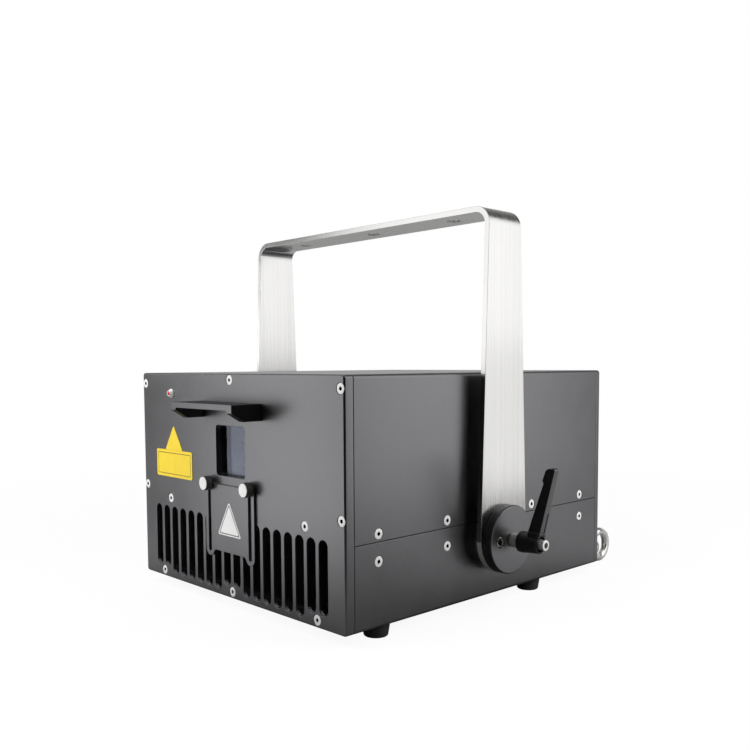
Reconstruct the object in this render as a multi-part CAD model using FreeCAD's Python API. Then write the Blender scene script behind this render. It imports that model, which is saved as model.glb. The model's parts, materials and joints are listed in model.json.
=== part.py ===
"""Laser show projector in a stirrup yoke.

Millimetres. Z is up and zero at the floor under the feet, the front faces -Y, and the origin is the
middle of the whole footprint. Heights named "_up" are measured from the box's underside.
"""
import FreeCAD, Part
import math
import os

V = FreeCAD.Vector
X_AXIS, Y_AXIS, Z_AXIS = V(1, 0, 0), V(0, 1, 0), V(0, 0, 1)
FRONT, REAR = V(0, -1, 0), V(0, 1, 0)
os.makedirs("parts", exist_ok=True)

# Common to all cuts and fits
overrun = 1.0            # every cutting tool runs past the faces it cuts by this much
thread_fit = 0.05        # a screw in its threaded hole, radial
hole_fit = 0.3           # a screw in its clearance hole, radial
run_fit = 0.05           # a turning pin in its bore, radial
slide_gap = 0.1          # between flat faces that slide on each other
insert_gap = 0.2         # round a panel piece in its cut-out

# Housing
box_w = 304.4
box_d = 351.3
box_h = 200.0
front_t = 9.0
rear_t = 6.5
side_t = 8.4
top_t = 10.0
base_t = 10.0
seam_up = 68.6           # seam between top cover and base tray
seam_gap = 0.5
corner_r = 3.0
edge_ch = 0.9

# Feet
foot_h = 11.0
foot_top_r = 11.8
foot_bottom_r = 10.2
foot_edge_r = 1.6
foot_side_in = 14.2      # foot middle from the box's side
# feet ahead of and behind the box's middle, as shares of its depth
foot_ahead_share = 0.373
foot_behind_share = 0.208
foot_bore_r = 5.0
foot_floor_t = 3.5       # rubber under the screw's head

# Countersunk screws of the housing, M5
sink_d = 5.0
sink_head_d = 8.6
sink_mouth_d = 9.3
sink_recess = 0.3        # head below the plate's face
sink_key = 3.0           # hex socket across flats
sink_key_deep = 2.2
sink_len = 20.0
corner_screw_in = 4.7
corner_screw_down = 10.5
top_screw_down = 5.6
mid_screw_up = 88.8
bench_screw_in = 49.2    # from the box's side
bench_end_screw_rise = 9.0    # above the bench's underside, in its end faces
bench_side_screw_rise = 5.0   # the same, in its side faces
base_screw_in = 34.7     # from the box's side
base_screw_up = 6.2
# side screws ahead of and behind the box's middle, as shares of its depth
side_screw_shares = (0.4, 0.17)
low_screw_up = 53.0

# Panel and cap screws
pan_d = 4.0
pan_head_d = 7.5
pan_head_h = 2.6
pan_len = 16.0
pan_key = 2.5
cap_d = 5.0
cap_head_d = 8.5
cap_head_h = 3.6
cap_key = 4.0
cap_len = 14.0

# Vents, the same in both plates
vent_n = 18
vent_end_in = 26.485     # middle of the outermost slot from the box's side
vent_share = 0.7167      # a slot's width as a share of the pitch
vent_top_up = 71.0
vent_bottom_up = 5.3
vent_short_up = 11.1     # where a base screw sits below the slot
vent_screw_room = 11.0   # slots nearer than this to a base screw are short

# Aperture, glass and hood
aperture_w = 44.4
aperture_h = 45.0
aperture_mid_up = 131.5
aperture_r = 3.0
glass_s = 60.0
glass_t = 3.0
retainer_s = 80.0
retainer_t = 8.0
retainer_hole_s = 50.0
retainer_screw_in = 5.5
hood_w = 95.0
hood_out = 30.0
hood_top_down = 25.0
hood_top_t = 5.0
hood_cheek_t = 7.5
hood_nose_h = 7.0
hood_cheek_h = 14.5
hood_flat = 17.5         # depth of the cheek's flat lower edge
hood_screw_down = 8.0

# Indicator lamp
lamp_in = 54.6           # from the box's left side
lamp_down = 19.3
lamp_barrel_r = 4.0
lamp_flange_r = 5.6
lamp_nose_r = 3.4
lamp_out = 4.2
lamp_rim = 0.8
lens_r = 2.5
lens_out = 0.9
lamp_back = 6.0

# Yellow plate and the triangular one above it
label_t = 0.4
label_share = 0.3113     # plates' middle left of the box's, as a share of its width
label_w = 64.5
label_bottom_up = 99.8
label_h = 26.2
label_r = 2.0
mark_w = 33.0
mark_h = 25.0
mark_gap = 0.6
mark_r = 2.0

# Sliding beam mask and its thumb screws
mask_t = 2.0
mask_half_w = 37.5
mask_slot_w = 4.6
mask_rim = 4.1           # material round the slots
mask_low_up = 41.2       # middle of the slots' lower ends
mask_travel = 60.0
mask_fillet_r = 4.2
thumb_shank_r = 2.0
thumb_head_r = 6.5
thumb_head_h = 6.7
thumb_edge = 0.5

# Yoke
yoke_stand = 8.6         # air between the box's side and the yoke
yoke_t = 5.0
yoke_bend_r = 16.0       # outside of the bend
yoke_top_up = 342.5
yoke_end_r = 32.0
yoke_bar_w = 43.0
yoke_hole_r = 6.25
yoke_hole_in = 59.1      # outer holes from the yoke's side
pivot_up = 53.0

# Pivot hubs, clamp discs, studs and levers, along X from the box's side
hub_r = 26.0
hub_shank_r = 13.0
hub_spigot_r = 10.0
hub_spigot_short = 0.4
hub_wall = 3.0           # left behind the stud's bore
ring_t = 3.0
disc_t = 6.2
disc_r = 30.4
disc_ch = 1.2
ring_hole_gap = 0.5
disc_screw_off = 16.0
disc_screw_mouth_d = 10.4
disc_screw_deep = 4.2
stud_r = 5.0
stud_gap = 0.4           # stud in the disc
stud_tip_gap = 0.5
lever_stand = 7.0        # disc face to lever hub
lever_hub_l = 23.0
lever_hub_r = 9.3
lever_hub_end_r = 7.9
lever_collar_l = 7.0
insert_flats = 12.0
insert_l = 11.0
insert_in = 1.0          # insert from the hub's base
lever_web = 3.0
lever_lift = 4.0
lever_screw_r = 3.0
lever_head_r = 5.7
lever_head_out = 4.4
lever_head_key = 5.0
lever_lift_room = 0.7
lever_arm_w = 8.0
lever_arm_len = 66.5
lever_arm_ch = 0.9
lever_base_in = 11.5     # inner side of the arm's foot, from the hub's base
lever_tip_lean = 15.5    # arm tip's outer face beyond the hub's end
lever_tip_t = 6.5
lever_notch_t = 9.4
lever_notch_deep = 1.4
# shares of the arm's length at which the outline turns
lever_foot_share = 0.14
lever_notch_share = 0.81
lever_bump_share = 0.84
lever_tip_share = 0.965

# Safety eye at the rear, M8
eye_x_in = 10.7          # from the box's right side
eye_up = 14.5
eye_ring_r = 14.0
eye_bar_r = 4.0
eye_collar_r = 9.5
eye_collar_h = 6.0
eye_shank_r = 4.0
eye_shank_l = 15.0

# Optical bench and heat sink
bench_up = 70.0
bench_t = 14.0
sink_plate_t = 8.0
sink_bar_w = 12.0
sink_fin_t = 3.0
sink_fin_n = 17
sink_fin_end = 12.0      # air gap between the fins and each end of the box or fan
sink_floor_gap = 4.0

# Scanner
scan_back = 30.0         # mirrors behind the inside of the front plate
scan_rise = 14.0         # first mirror's axis above the second's
galvo_r = 7.0
galvo_l = 34.0
galvo_start = 10.0
galvo_shaft_r = 1.5
scan_post_t = 22.0
scan_post_half = 12.0
scan_post_off = 13.0
scan_foot_t = 8.0
mirror_t = 1.2
mirror_x_l = 13.0
mirror_x_w = 8.0
mirror_y_l = 16.0
mirror_y_w = 10.0
mirror_clip_r = 2.2
mirror_clip_l = 4.0

# Lasers and the mirrors that join their beams
beam_x = -30.0
laser_driver_gap = 11.8  # lasers to drivers
laser_h = 72.0
laser_room = 5.0         # galvo motor to first laser
# a laser's width and the step to the next, as shares of the inside depth
laser_w_share = 0.137
laser_step_share = 0.167
laser_gap_x = 28.0       # beam line to laser face
laser_port_r = 5.0
laser_port_deep = 4.0
fold_t = 2.0
fold_s = 18.0
fold_post_w = 14.0
fold_post_l = 12.0

# Electronics
board_t = 1.6
board_clear = 6.0
driver_x_in = 8.0        # from the inside of the box's side
driver_w = 26.0
driver_h = 70.0
# drivers' front ends and length, as shares of the inside depth
scan_driver_share = 0.195
laser_driver_share = 0.53
driver_l_share = 0.28
supply_beam_gap = 19.8   # beam line to supply
supply_l = 150.0
supply_h = 40.0
supply_x_in = 4.0
supply_room = 18.0       # supply to control board
control_side_gap = 43.8  # from the inside of the box's side
control_h = 90.0
control_back = 46.0      # from the inside of the rear plate

# Fans
fan_s = 60.0
fan_t = 25.0
fan_in = 87.2            # fan's middle from the box's side
fan_bore_r = 28.0
fan_motor_r = 12.0
fan_motor_t = 3.0
fan_strut_w = 4.0
fan_pin_r = 1.5
fan_pin_l = 17.0
fan_hub_r = 11.0
fan_hub_l = 16.0
fan_hub_gap = 0.6
fan_blade_n = 7
fan_blade_t = 1.4
fan_blade_chord = 13.0
fan_blade_r = 26.6
fan_blade_root_r = 9.0
fan_blade_pitch = 40.0   # degrees

# Mains inlet and rocker
inlet_in = 40.2          # from the box's right side
inlet_up = 140.0
inlet_w = 31.0
inlet_h = 64.0
inlet_flange_t = 2.5
inlet_body_w = 27.0
inlet_body_h = 58.0
inlet_body_d = 30.0
inlet_r = 3.0
plug_w = 22.0
plug_h = 15.0
plug_deep = 18.0
plug_down = 14.0
pin_w = 4.0
pin_t = 2.0
pin_gap_x = 7.0
pin_drop = 3.0
rocker_w = 19.0
rocker_h = 12.0
rocker_win_gap = 0.9
rocker_win_deep = 13.0
rocker_rise = 16.0
rocker_t = 9.0
rocker_out = 2.0
rocker_dish = 1.2
rocker_axis_deep = 3.0
rocker_pin_r = 1.2
rocker_pin_l = 1.5

# Key lock
key_in = 92.2            # from the box's right side
key_up = 155.0
key_body_r = 9.5
key_flange_r = 12.5
key_flange_t = 3.0
key_body_l = 26.0
key_barrel_r = 5.6
key_barrel_l = 20.0
key_bow_w = 22.0
key_bow_h = 20.0
key_bow_t = 2.2
key_stem_w = 9.0
key_stem_l = 9.0
key_ring_r = 3.0

# Data sockets (25-pin) and signal sockets (round)
data_x = -5.0
data_ups = (114.0, 134.0)
data_flange_w = 53.0
data_flange_h = 12.6
data_flange_t = 1.2
data_shell_w = 39.0
data_shell_h = 8.4
data_shell_out = 6.0
data_body_d = 14.0
data_post_off = 23.5
data_post_flats = 5.0
data_post_out = 5.0
data_cut_w = 42.0
data_cut_h = 11.0
# round sockets left of the box's middle, as shares of its width
signal_shares = (0.2037, 0.3351)
signal_up = 135.0
signal_flange_w = 26.0
signal_flange_h = 31.0
signal_flange_t = 2.4
signal_r = 11.8
signal_bowl_r = 9.6
signal_bowl_deep = 12.0
signal_body_l = 27.0
signal_pin_r = 1.2
signal_pin_pcd_r = 4.0
signal_pin_n = 3

# Places that follow from the sizes above
half_w = box_w / 2
bench_screw_x = half_w - bench_screw_in
base_screw_x = half_w - base_screw_in
vent_pitch = 2 * (half_w - vent_end_in) / (vent_n - 1)
vent_w = vent_share * vent_pitch
lamp_x = lamp_in - half_w
label_x = -label_share * box_w
inlet_x = half_w - inlet_in
key_x = half_w - key_in
signal_xs = tuple(-share * box_w for share in signal_shares)
fan_x = half_w - fan_in
yoke_half_w = half_w + yoke_stand + yoke_t
yoke_hole_x = yoke_half_w - yoke_hole_in
eye_out = eye_ring_r + eye_bar_r
eye_reach = 2 * eye_out
y_mid = (hood_out - eye_reach) / 2
y_front = y_mid - box_d / 2
y_rear = y_mid + box_d / 2
y_in_front = y_front + front_t
y_in_rear = y_rear - rear_t
z_under = foot_h
z_top = foot_h + box_h
z_seam = z_under + seam_up
x_in = half_w - side_t
x_laser = beam_x + laser_gap_x
laser_l = x_in - driver_x_in - driver_w - laser_driver_gap - x_laser
supply_w = beam_x - supply_beam_gap + x_in - supply_x_in
control_w = 2 * (x_in - control_side_gap)
z_bench = z_under + bench_up
z_deck = z_bench + bench_t
z_floor = z_under + base_t
z_roof = z_top - top_t
z_pivot = z_under + pivot_up
z_aperture = z_under + aperture_mid_up
z_mask_low = z_under + mask_low_up
z_thumb = z_mask_low + mask_travel
mask_lobe_r = mask_slot_w / 2 + mask_rim
mask_slot_x = mask_half_w - mask_lobe_r
x_ring = yoke_half_w
x_disc = x_ring + ring_t
x_disc_face = x_disc + disc_t
x_lever = x_disc_face + lever_stand
x_lever_end = x_lever + lever_hub_l
x_insert = x_lever + insert_in
x_insert_end = x_insert + insert_l
x_web_end = x_insert_end + slide_gap + lever_web
x_head_under = x_web_end + lever_lift + lever_lift_room
x_head_face = x_lever_end + lever_head_out
y_scan = y_in_front + scan_back
z_beam = z_aperture + scan_rise
z_fan = z_floor + fan_s / 2
z_hood = z_top - hood_top_down
z_lamp = z_top - lamp_down
inner_d = y_in_rear - y_in_front
laser_w = laser_w_share * inner_d
y_control = y_in_rear - control_back


def box(x0, x1, y0, y1, z0, z1):
    """Box between two opposite corners."""
    return Part.makeBox(x1 - x0, y1 - y0, z1 - z0, V(x0, y0, z0))


def rod(at, along, r, length):
    """Round bar that starts at a point."""
    return Part.makeCylinder(r, length, at, along)


def turned(points, at, along):
    """Solid of revolution: points are (radius, height) pairs, height measured along the axis."""
    ring = [V(r, 0, h) for r, h in points]
    face = Part.Face(Part.makePolygon(ring + ring[:1]))
    return placed(face.revolve(V(0, 0, 0), Z_AXIS, 360), at, along)


def placed(shape, at, along):
    """Shape drawn on +Z, moved to a point with +Z turned to a direction."""
    copy = shape.copy()
    copy.Placement = FreeCAD.Placement(at, FreeCAD.Rotation(Z_AXIS, along))
    return copy


def hex_bar(flats, length, at, along):
    """Hexagonal bar that starts at a point."""
    r = flats / math.sqrt(3)
    turns = [math.radians(60 * i + 30) for i in range(7)]
    wire = Part.makePolygon([V(r * math.cos(a), r * math.sin(a), 0) for a in turns])
    return placed(Part.Face(wire).extrude(Z_AXIS * length), at, along)


def prism_y(points, y0, y1):
    """Outline of (x, z) points, extruded along Y."""
    ring = [V(x, y0, z) for x, z in points]
    return Part.Face(Part.makePolygon(ring + ring[:1])).extrude(Y_AXIS * (y1 - y0))


def prism_x(points, x0, x1):
    """Outline of (y, z) points, extruded along X."""
    ring = [V(x0, y, z) for y, z in points]
    return Part.Face(Part.makePolygon(ring + ring[:1])).extrude(X_AXIS * (x1 - x0))


def edges_along(shape, direction):
    """Straight edges parallel to a direction."""
    found = []
    for edge in shape.Edges:
        if isinstance(edge.Curve, Part.Line):
            if edge.tangentAt(edge.FirstParameter).cross(direction).Length < 1e-6:
                found.append(edge)
    return found


def edges_on_plane(shape, axis, value):
    """Edges that lie in the plane where one coordinate has a value."""
    return [e for e in shape.Edges if all(abs(getattr(v.Point, axis) - value) < 1e-6 for v in e.Vertexes)
            and abs(getattr(e.CenterOfMass, axis) - value) < 1e-6]


def rounded_y(x0, x1, y0, y1, z0, z1, r):
    """Box whose four edges along Y are rounded."""
    block = box(x0, x1, y0, y1, z0, z1)
    return block.makeFillet(r, edges_along(block, Y_AXIS))


def mirrored(shape):
    """Same piece on the other side of the box."""
    return shape.mirror(V(0, 0, 0), X_AXIS)


def group(shapes):
    """Separate solids that share one file."""
    return Part.makeCompound(shapes)


def both(x):
    """A place and its mirror image."""
    return (-x, x)


def sink_screw(at, out):
    """Countersunk screw just below a face, at a point on it."""
    head, shank = sink_head_d / 2, sink_d / 2
    top = at - out * sink_recess
    body = turned([(0, 0), (head, 0), (shank, shank - head), (shank, -sink_len), (0, -sink_len)], top, out)
    return body.cut(hex_bar(sink_key, sink_key_deep + overrun, top - out * sink_key_deep, out))


def sink_hole(at, out, through):
    """Countersunk clearance hole through a wall."""
    mouth, hole = sink_mouth_d / 2, sink_d / 2 + hole_fit
    past = -through - overrun
    shape = [(0, overrun), (mouth, overrun), (mouth, 0), (hole, hole - mouth), (hole, past), (0, past)]
    return turned(shape, at, out)


def sink_thread(at, out):
    """Threaded hole for a countersunk screw, drawn from the screw's face."""
    return rod(at, -out, sink_d / 2 + thread_fit, sink_len + overrun)


def pan_screw(at, out):
    """Pan head screw whose head sits on a face at a point."""
    head, shank = pan_head_d / 2, pan_d / 2
    shape = [(0, pan_head_h), (head, pan_head_h), (head, 0), (shank, 0), (shank, -pan_len), (0, -pan_len)]
    body = turned(shape, at, out)
    return body.cut(hex_bar(pan_key, pan_head_h, at + out * (pan_head_h / 2), out))


def pan_hole(at, out, fit):
    """Hole for a pan head screw, drawn from under the head."""
    return rod(at + out * overrun, -out, pan_d / 2 + fit, pan_len + 2 * overrun)


def pan_thread(at, out):
    """Threaded hole that ends at the pan head screw's tip."""
    return rod(at, -out, pan_d / 2 + thread_fit, pan_len + slide_gap)


def plate_screw_spots():
    """Places (x, z) of the ten screws of the front plate, and of the rear plate."""
    edge_x = half_w - corner_screw_in
    spots = [(0, z_top - top_screw_down), (0, z_under + base_screw_up)]
    for x in both(edge_x):
        spots += [(x, z_top - corner_screw_down), (x, z_under + mid_screw_up)]
    spots += [(x, z_bench + bench_end_screw_rise) for x in both(bench_screw_x)]
    spots += [(x, z_under + base_screw_up) for x in both(base_screw_x)]
    return spots


def end_screws(make, y, out, *more):
    """One thing per plate screw: a screw, a hole or a thread."""
    return [make(V(x, y, z), out, *more) for x, z in plate_screw_spots()]


def side_screws_at(z, make, *more):
    """One thing per screw of a row on both sides."""
    made = []
    for side in (-1, 1):
        for share in side_screw_shares:
            made += [make(V(side * half_w, y_mid + y, z), X_AXIS * side, *more) for y in both(share * box_d)]
    return made


z_high_row = z_bench + bench_side_screw_rise
z_low_row = z_under + low_screw_up


def foot_spots():
    """Middle of each foot on the box's underside."""
    ys = (y_mid - foot_ahead_share * box_d, y_mid + foot_behind_share * box_d)
    return [V(x, y, z_under) for x in both(half_w - foot_side_in) for y in ys]


def vents(y0, y1):
    """Round-ended vertical slots; those above a base screw stop short of it."""
    slots = []
    for i in range(vent_n):
        x = (i - (vent_n - 1) / 2) * vent_pitch
        near = min(abs(x - s) for s in (-base_screw_x, 0, base_screw_x))
        low = z_under + (vent_short_up if near < vent_screw_room else vent_bottom_up)
        slots.append(slot_y(x, low, z_under + vent_top_up, vent_w, y0, y1))
    return slots


def slot_y(x, z0, z1, w, y0, y1):
    """Vertical slot with round ends, cut along Y."""
    r = w / 2
    bar = box(x - r, x + r, y0, y1, z0 + r, z1 - r)
    ends = [rod(V(x, y0, z), Y_AXIS, r, y1 - y0) for z in (z0 + r, z1 - r)]
    return bar.fuse(ends).removeSplitter()


def hood_screw_spots():
    """Under the hood screws' heads, on the inside of the front plate."""
    z = z_hood - hood_screw_down
    return [V(x, y_in_front, z) for x in both(hood_w / 2 - hood_cheek_t / 2)]


def retainer_screw_spots():
    """Under the retainer screws' heads."""
    off = retainer_s / 2 - retainer_screw_in
    return [V(x, y_in_front + retainer_t, z_aperture + z) for x in both(off) for z in both(off)]


def thumb_spots():
    """Thumb screws' axes on the front plate's face."""
    return [V(x, y_front, z_thumb) for x in both(mask_slot_x)]


def front_plate():
    """Thick plate with the aperture, the vents and all its screw holes."""
    plate = rounded_y(-half_w, half_w, y_front, y_in_front, z_under, z_top, corner_r)
    plate = plate.makeChamfer(edge_ch, edges_on_plane(plate, "y", y_front))
    y0, y1 = y_front - overrun, y_in_front + overrun
    window = rounded_y(-aperture_w / 2, aperture_w / 2, y0, y1,
                       z_aperture - aperture_h / 2, z_aperture + aperture_h / 2, aperture_r)
    lamp = rod(V(lamp_x, y0, z_lamp), REAR, lamp_barrel_r, y1 - y0)
    cuts = vents(y0, y1) + end_screws(sink_hole, y_front, FRONT, front_t) + [window, lamp]
    cuts += [pan_hole(p, REAR, hole_fit) for p in hood_screw_spots()]
    cuts += [pan_thread(p, REAR) for p in retainer_screw_spots()]
    cuts += [rod(p + FRONT * overrun, REAR, thumb_shank_r + run_fit, y1 - y0) for p in thumb_spots()]
    return plate.cut(cuts)


def rear_plate():
    """Plate with the vents, the socket cut-outs and the eye's thread."""
    plate = rounded_y(-half_w, half_w, y_in_rear, y_rear, z_under, z_top, corner_r)
    plate = plate.makeChamfer(edge_ch, edges_on_plane(plate, "y", y_rear))
    y0, y1 = y_in_rear - overrun, y_rear + overrun
    inlet = box(inlet_x - inlet_body_w / 2 - insert_gap, inlet_x + inlet_body_w / 2 + insert_gap, y0, y1,
                z_under + inlet_up - inlet_body_h / 2 - insert_gap,
                z_under + inlet_up + inlet_body_h / 2 + insert_gap)
    lock = rod(V(key_x, y0, z_under + key_up), REAR, key_body_r + insert_gap, y1 - y0)
    cuts = vents(y0, y1) + end_screws(sink_hole, y_rear, REAR, rear_t) + [inlet, lock, eye_thread()]
    for up in data_ups:
        cuts.append(box(data_x - data_cut_w / 2, data_x + data_cut_w / 2, y0, y1,
                        z_under + up - data_cut_h / 2, z_under + up + data_cut_h / 2))
    cuts += [rod(V(x, y0, z_under + signal_up), REAR, signal_r + insert_gap, y1 - y0) for x in signal_xs]
    return plate.cut(cuts)


def top_cover():
    """Top and upper sides in one piece, from the seam up."""
    z0 = z_seam + seam_gap / 2
    shell = box(-half_w, half_w, y_in_front, y_in_rear, z0, z_top)
    long_edges = [e for e in edges_along(shell, Y_AXIS) if e.CenterOfMass.z > z_roof]
    shell = shell.makeFillet(corner_r, long_edges)
    room = box(-x_in, x_in, y_in_front - overrun, y_in_rear + overrun, z0 - overrun, z_roof)
    cuts = side_screws_at(z_high_row, sink_hole, side_t)
    cuts += end_screws(sink_thread, y_front, FRONT) + end_screws(sink_thread, y_rear, REAR)
    return shell.cut([room] + cuts)


def base_tray():
    """Bottom and lower sides in one piece, up to the seam."""
    z1 = z_seam - seam_gap / 2
    shell = box(-half_w, half_w, y_in_front, y_in_rear, z_under, z1)
    long_edges = [e for e in edges_along(shell, Y_AXIS) if e.CenterOfMass.z < z_floor]
    shell = shell.makeFillet(corner_r, long_edges)
    room = box(-x_in, x_in, y_in_front - overrun, y_in_rear + overrun, z_floor, z1 + overrun)
    cuts = side_screws_at(z_low_row, sink_hole, side_t)
    cuts += end_screws(sink_thread, y_front, FRONT) + end_screws(sink_thread, y_rear, REAR)
    cuts += [rod(V(-half_w - overrun, y_mid, z_pivot), X_AXIS, hub_shank_r + run_fit, box_w + 2 * overrun)]
    for p in foot_spots():
        cuts.append(rod(p - Z_AXIS * overrun, Z_AXIS, pan_d / 2 + thread_fit, base_t + 2 * overrun))
    return shell.cut([room, eye_thread()] + cuts)


def optical_bench():
    """Thick plate across the box that carries the optics; the housing's screws end in its edges."""
    slab = box(-x_in, x_in, y_in_front, y_in_rear, z_bench, z_deck)
    cuts = side_screws_at(z_high_row, sink_thread)
    cuts += end_screws(sink_thread, y_front, FRONT) + end_screws(sink_thread, y_rear, REAR)
    return slab.cut(cuts)


def heat_sink():
    """Fins under the bench, between two bars that the lower side screws hold."""
    z0 = z_floor + sink_floor_gap
    y0 = y_in_front + sink_fin_end
    y1 = y_in_rear - fan_t - sink_fin_end
    body = box(-x_in, x_in, y0, y1, z_bench - sink_plate_t, z_bench)
    bars = []
    for side in (-1, 1):
        a, b = sorted((side * x_in, side * (x_in - sink_bar_w)))
        bars.append(box(a, b, y_in_front, y_in_rear, z_floor, z_bench))
    fins = []
    span = 2 * (x_in - sink_bar_w)
    for i in range(sink_fin_n):
        x = (i + 1) * span / (sink_fin_n + 1) - span / 2
        fins.append(box(x - sink_fin_t / 2, x + sink_fin_t / 2, y0, y1, z0, z_bench - sink_plate_t))
    sink = body.fuse(bars + fins).removeSplitter()
    return sink.cut(side_screws_at(z_low_row, sink_thread) + [eye_thread()])


def rubber_feet():
    """Tapered round feet, hollow up to their screw's head."""
    top, low, e = foot_top_r, foot_bottom_r, foot_edge_r
    shape = [(0, 0), (top, 0), (low, e - foot_h), (low - e, -foot_h), (0, -foot_h)]
    feet = []
    for p in foot_spots():
        foot = turned(shape, p, Z_AXIS)
        well = rod(p - Z_AXIS * foot_floor_t, -Z_AXIS, foot_bore_r, foot_h)
        hole = rod(p + Z_AXIS * overrun, -Z_AXIS, pan_d / 2 + hole_fit, foot_h)
        feet.append(foot.cut([well, hole]))
    return group(feet)


def foot_screws():
    """Screws that hold the feet, threaded into the tray's bottom."""
    screws = []
    for p in foot_spots():
        seat = p - Z_AXIS * foot_floor_t
        screw = pan_screw(seat, -Z_AXIS)
        reach = base_t + foot_floor_t
        screws.append(screw.cut(rod(seat + Z_AXIS * reach, Z_AXIS, pan_head_d, pan_len)))
    return group(screws)


def aperture_hood():
    """Milled shade over the aperture: a top with two cheeks whose front corners are cut off."""
    z1 = z_hood
    z_cheek = z1 - hood_cheek_h
    y_nose = y_front - hood_out
    side = [(y_front, z1), (y_nose, z1), (y_nose, z1 - hood_nose_h), (y_front - hood_flat, z_cheek),
            (y_front, z_cheek)]
    body = prism_x(side, -hood_w / 2, hood_w / 2)
    inner = hood_w / 2 - hood_cheek_t
    room = box(-inner, inner, y_nose - overrun, y_front + overrun, z_cheek - overrun, z1 - hood_top_t)
    return body.cut([room] + [pan_thread(p, REAR) for p in hood_screw_spots()])


def inner_screws():
    """Pan head screws of the hood and of the glass retainer, all alike."""
    return group([pan_screw(p, REAR) for p in hood_screw_spots() + retainer_screw_spots()])


def aperture_glass():
    """Window behind the aperture."""
    s = glass_s / 2
    return box(-s, s, y_in_front, y_in_front + glass_t, z_aperture - s, z_aperture + s)


def glass_retainer():
    """Frame that presses the glass against the front plate."""
    s, hole, pocket = retainer_s / 2, retainer_hole_s / 2, glass_s / 2 + insert_gap
    y1 = y_in_front + retainer_t
    frame = box(-s, s, y_in_front, y1, z_aperture - s, z_aperture + s)
    window = box(-hole, hole, y_in_front, y1 + overrun, z_aperture - hole, z_aperture + hole)
    seat = box(-pocket, pocket, y_in_front - overrun, y_in_front + glass_t,
               z_aperture - pocket, z_aperture + pocket)
    return frame.cut([window, seat] + [pan_hole(p, REAR, hole_fit) for p in retainer_screw_spots()])


def led_bezel():
    """Conical lamp holder in the front plate."""
    at = V(lamp_x, y_front, z_lamp)
    back = -front_t - lamp_back
    barrel = lamp_barrel_r - run_fit
    shape = [(lens_r, lamp_out), (lamp_nose_r, lamp_out), (lamp_flange_r, lamp_rim), (lamp_flange_r, 0),
             (barrel, 0), (barrel, back), (lens_r, back)]
    return turned(shape, at, FRONT)


def led_lens():
    """Red lens with a domed tip inside the lamp holder."""
    at = V(lamp_x, y_front, z_lamp)
    r = lens_r - run_fit
    body = rod(at + REAR * (front_t + lamp_back), FRONT, r, front_t + lamp_back + lamp_out)
    dome_r = (r * r + lens_out * lens_out) / (2 * lens_out)
    dome = Part.makeSphere(dome_r, at + FRONT * (lamp_out + lens_out - dome_r))
    cap = dome.common(rod(at + FRONT * lamp_out, FRONT, r, lens_out))
    return body.fuse(cap).removeSplitter()


def label_plate():
    """Plain rectangular plate with a plain triangular one above it."""
    z0 = z_under + label_bottom_up
    z1 = z0 + label_h
    y0 = y_front - label_t
    panel = rounded_y(label_x - label_w / 2, label_x + label_w / 2, y0, y_front, z0, z1, label_r)
    base = z1 + mark_gap
    corners = [(label_x - mark_w / 2, base), (label_x + mark_w / 2, base), (label_x, base + mark_h)]
    mark = prism_y(corners, y0, y_front)
    return group([panel, mark.makeFillet(mark_r, edges_along(mark, Y_AXIS))])


def beam_mask():
    """Plate with two long slots; each slot's ends stand in round lobes joined to the plate by fillets."""
    y1 = y_front - slide_gap
    y0 = y1 - mask_t
    ends = (z_mask_low, z_thumb)
    plate = box(-mask_half_w, mask_half_w, y0, y1, ends[0], ends[1])
    adds, cuts = [], []
    reach = math.sqrt((mask_lobe_r + mask_fillet_r) ** 2 - mask_fillet_r ** 2)
    for x in both(mask_slot_x):
        inward = -math.copysign(reach, x)
        for z, away in zip(ends, (-1, 1)):
            adds.append(rod(V(x, y0, z), Y_AXIS, mask_lobe_r, mask_t))
            fillet_z = z + away * mask_fillet_r
            adds.append(prism_y([(x, z), (x + inward, z), (x + inward, fillet_z)], y0, y1))
            fillet = V(x + inward, y0 - overrun, fillet_z)
            cuts.append(rod(fillet, Y_AXIS, mask_fillet_r, mask_t + 2 * overrun))
        half = mask_slot_w / 2
        cuts.append(slot_y(x, ends[0] - half, ends[1] + half, mask_slot_w, y0 - overrun, y1 + overrun))
    return plate.fuse(adds).removeSplitter().cut(cuts)


def thumb_screw(at):
    """Thumb screw: round head over the mask, shank through the slot into the front plate."""
    under = mask_t + 2 * slide_gap
    top = under + thumb_head_h
    head, e = thumb_head_r, thumb_edge
    shape = [(0, top), (head - e, top), (head, top - e), (head, under + e), (head - e, under),
             (thumb_shank_r, under), (thumb_shank_r, -front_t), (0, -front_t)]
    return turned(shape, at, FRONT)


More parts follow.
